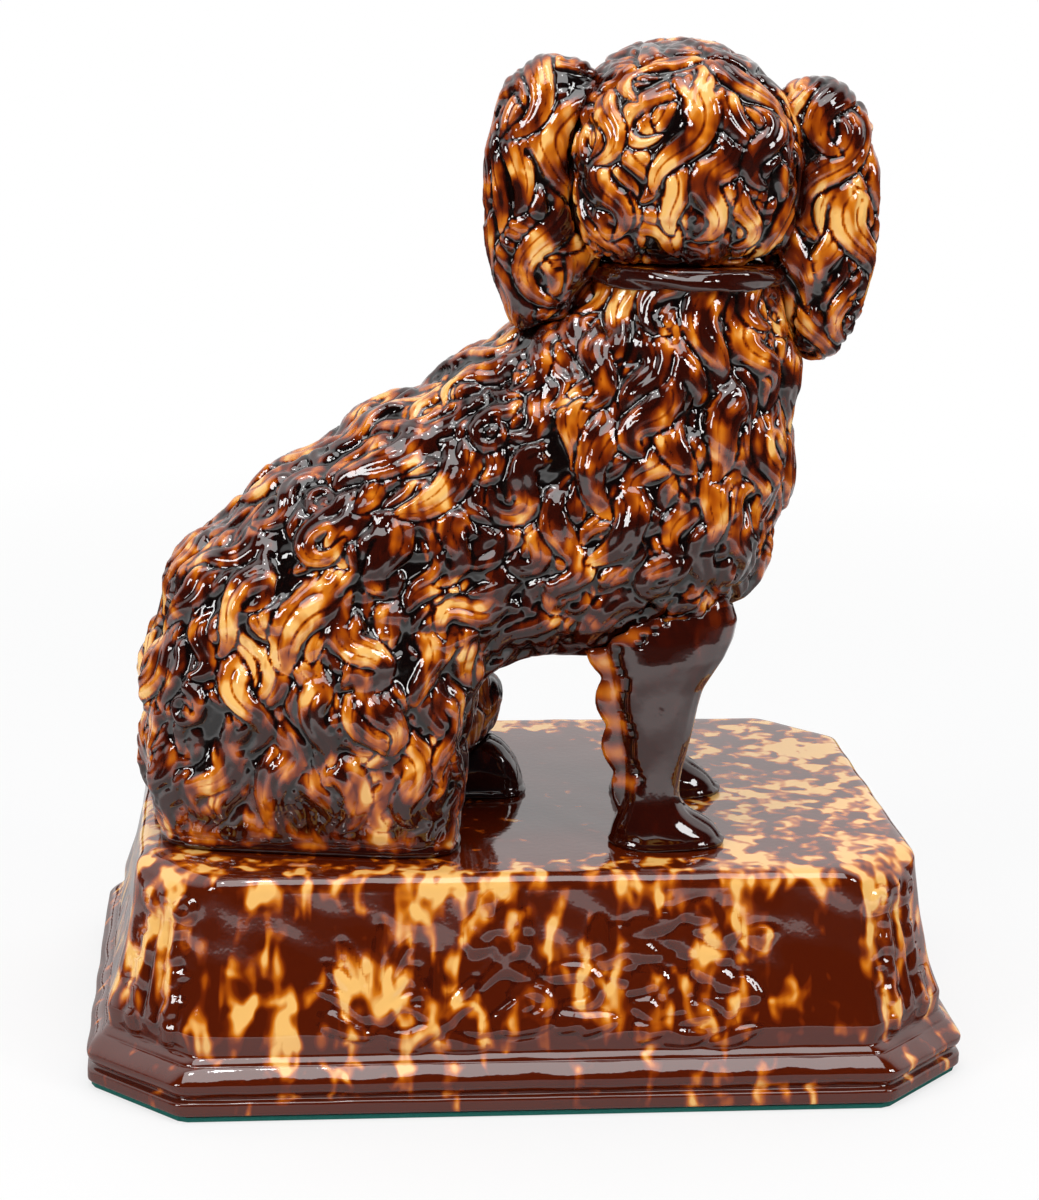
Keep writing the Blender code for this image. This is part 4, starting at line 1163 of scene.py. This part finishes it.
def make_plinth():
    mesh = plinth_mesh()
    piece = link("plinth_and_leaves", mesh)
    points, normals = points_and_normals(mesh)
    carved = foliage(-1) + foliage(1)
    for sign_x in (-1, 1):
        for sign_y in (-1, 1):
            carved += corner_leaf(sign_x, sign_y)
    locks = settled(points, normals, carved)
    height, crest = painted(points, normals, locks, 1.1, 0.0, moat_width=1.3, moat_depth=0.5, groove=0.3)
    z = (points[:, 2] - PLINTH_FOOT_Z) / MM
    on_wall = smoothstep(z, 13.0, 15.0) * (1 - smoothstep(z, 54.0, 56.5))
    crest = np.where((np.abs(height) > 0.02) & (on_wall > 0.5), 0.40 + 0.60 * crest, 1.0)
    flat_top = smoothstep(normals[:, 2], 0.9, 0.99)
    height = height * on_wall + ripple(points, 47, 13.0) * (0.16 - 0.13 * flat_top) * smoothstep(z, 1.0, 4.0)
    height = neighbours_mean(mesh, height, 2)
    crest = neighbours_mean(mesh, crest, 1)
    raised(mesh, points, normals, height, crest, plinth_tone_and_painted_top_light(points, normals))
    finish(piece, plinth_glaze, "plinth")


make_plinth()
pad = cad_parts["felt_pad"]
pad.material_slots[0].link = "OBJECT"
pad.material_slots[0].material = felt_material()


# Floor, light and camera


# The lit table that mirrored rays see, with a shadow painted into its glow near the figure, and a dark room
# beyond it
TABLE_RADIUS = 0.41
SHADE_RADIUS = 0.18
LAMP_TARGET = Vector((0.0, 0.0, 0.14))
FLOOR_RADIUS = 14.0
FLOOR_DROP = 0.0002


def make_floor():
    """A wide pale sweep. The camera and mirrored rays see it near white, and it keeps a soft shadow. Mirrored
    rays see a shadow painted into its glow near the figure, and dark beyond the table.
    """
    shape = bmesh.new()
    bmesh.ops.create_circle(shape, cap_ends=True, segments=96, radius=FLOOR_RADIUS)
    mesh = bpy.data.meshes.new("studio_floor")
    shape.to_mesh(mesh)
    shape.free()
    floor = link("studio_floor", mesh)
    floor.location.z = -FLOOR_DROP
    made, tree = new_material("pale_floor")
    tree.nodes.remove(tree.nodes["Principled BSDF"])
    path = node(tree, "LightPath", {}).outputs
    place = node(tree, "TexCoord", {}).outputs["Object"]
    away = node(tree, "VectorMath", {0: place}, operation="LENGTH").outputs["Value"]
    beyond = mapped(tree, away, TABLE_RADIUS, TABLE_RADIUS + 0.04)
    # Painted shadow: the glow that mirrored rays see is dimmed near the figure
    painted_floor_shadow = mapped(tree, away, SHADE_RADIUS, SHADE_RADIUS + 0.12, 0.68, 0.0, "SMOOTHSTEP")
    dimmed = math_node(tree, "MAXIMUM", painted_floor_shadow, beyond)
    unlit = math_node(tree, "MULTIPLY", dimmed, path["Is Glossy Ray"])
    glow = node(tree, "Emission", {"Color": WHITE, "Strength": sum_of(tree, 1.0, (unlit, -0.96))})
    matt = node(tree, "BsdfDiffuse", {"Color": (0.86, 0.86, 0.86, 1.0)})
    seen = math_node(tree, "MAXIMUM", path["Is Camera Ray"], path["Is Glossy Ray"])
    seen = math_node(tree, "MAXIMUM", seen, path["Is Transmission Ray"])
    share = math_node(tree, "MULTIPLY", seen, mapped(tree, away, 0.15, 0.75, 0.72, 1.0))
    mixed(tree, share, matt, glow, "Material Output")
    mesh.materials.append(made)


def make_world():
    """A white background, and a dim room on the camera's side that the gloss and the fill light come from."""
    world = bpy.data.worlds.new("studio")
    bpy.context.scene.world = world
    world.use_nodes = True
    tree = world.node_tree
    white = feed(tree, tree.nodes["Background"], {"Color": WHITE, "Strength": 1.0})
    place = node(tree, "TexCoord", {}).outputs["Generated"]
    side = mapped(tree, node(tree, "SeparateXYZ", {0: place}).outputs["Y"], -0.1, 0.35)
    color = ramp(tree, side, ((0.0, (0.014, 0.014, 0.017)), (1.0, (0.96, 0.98, 1.0))))
    room = node(tree, "Background", {"Color": color, "Strength": 1.0})
    path = node(tree, "LightPath", {}).outputs
    mirrored = math_node(tree, "MAXIMUM", path["Is Glossy Ray"], path["Is Transmission Ray"])
    behind = math_node(tree, "MULTIPLY", mirrored, side)
    mixed(tree, math_node(tree, "MAXIMUM", path["Is Camera Ray"], behind), room, white, "World Output")


def softbox(name, place, width, height, bright):
    """A rectangular lamp of this brightness that faces the figure's middle."""
    lamp = bpy.data.lights.new(name, "AREA")
    lamp.shape = "RECTANGLE"
    lamp.size = width
    lamp.size_y = height
    lamp.energy = bright * math.pi * width * height
    made = link(name, lamp)
    made.location = place
    made.rotation_euler = (LAMP_TARGET - Vector(place)).to_track_quat("-Z", "Y").to_euler()


def make_lights():
    softbox("softbox_left", (-1.00, -0.75, 0.70), 0.34, 0.50, 10.0)
    softbox("softbox_right", (1.05, -0.80, 0.85), 0.34, 0.50, 9.0)
    softbox("softbox_top", (0.0, -0.48, 1.30), 1.1, 0.95, 3.0)
    softbox("spark_left", (-0.75, -0.95, 0.80), 0.12, 0.12, 24.0)
    softbox("spark_right", (0.80, -0.90, 1.00), 0.12, 0.12, 24.0)
    softbox("spark_top", (-0.15, -0.35, 1.30), 0.12, 0.12, 24.0)


def make_camera():
    forward = Vector((
        math.sin(CAMERA_YAW) * math.cos(CAMERA_DROP),
        math.cos(CAMERA_YAW) * math.cos(CAMERA_DROP),
        -math.sin(CAMERA_DROP),
    ))
    level = Vector((math.cos(CAMERA_YAW), -math.sin(CAMERA_YAW), 0.0))
    upright = level.cross(forward)
    right = level * math.cos(CAMERA_ROLL) + upright * math.sin(CAMERA_ROLL)
    up = upright * math.cos(CAMERA_ROLL) - level * math.sin(CAMERA_ROLL)
    lens = bpy.data.cameras.new("camera")
    lens.lens = CAMERA_LENS
    lens.sensor_width = SENSOR
    camera = link("camera", lens)
    turned = Matrix((right, up, -forward)).transposed().to_4x4()
    camera.matrix_world = Matrix.Translation(CAMERA_PLACE) @ turned
    bpy.context.scene.camera = camera


make_floor()
make_world()
make_lights()
make_camera()
bpy.context.scene.view_settings.view_transform = "Standard"
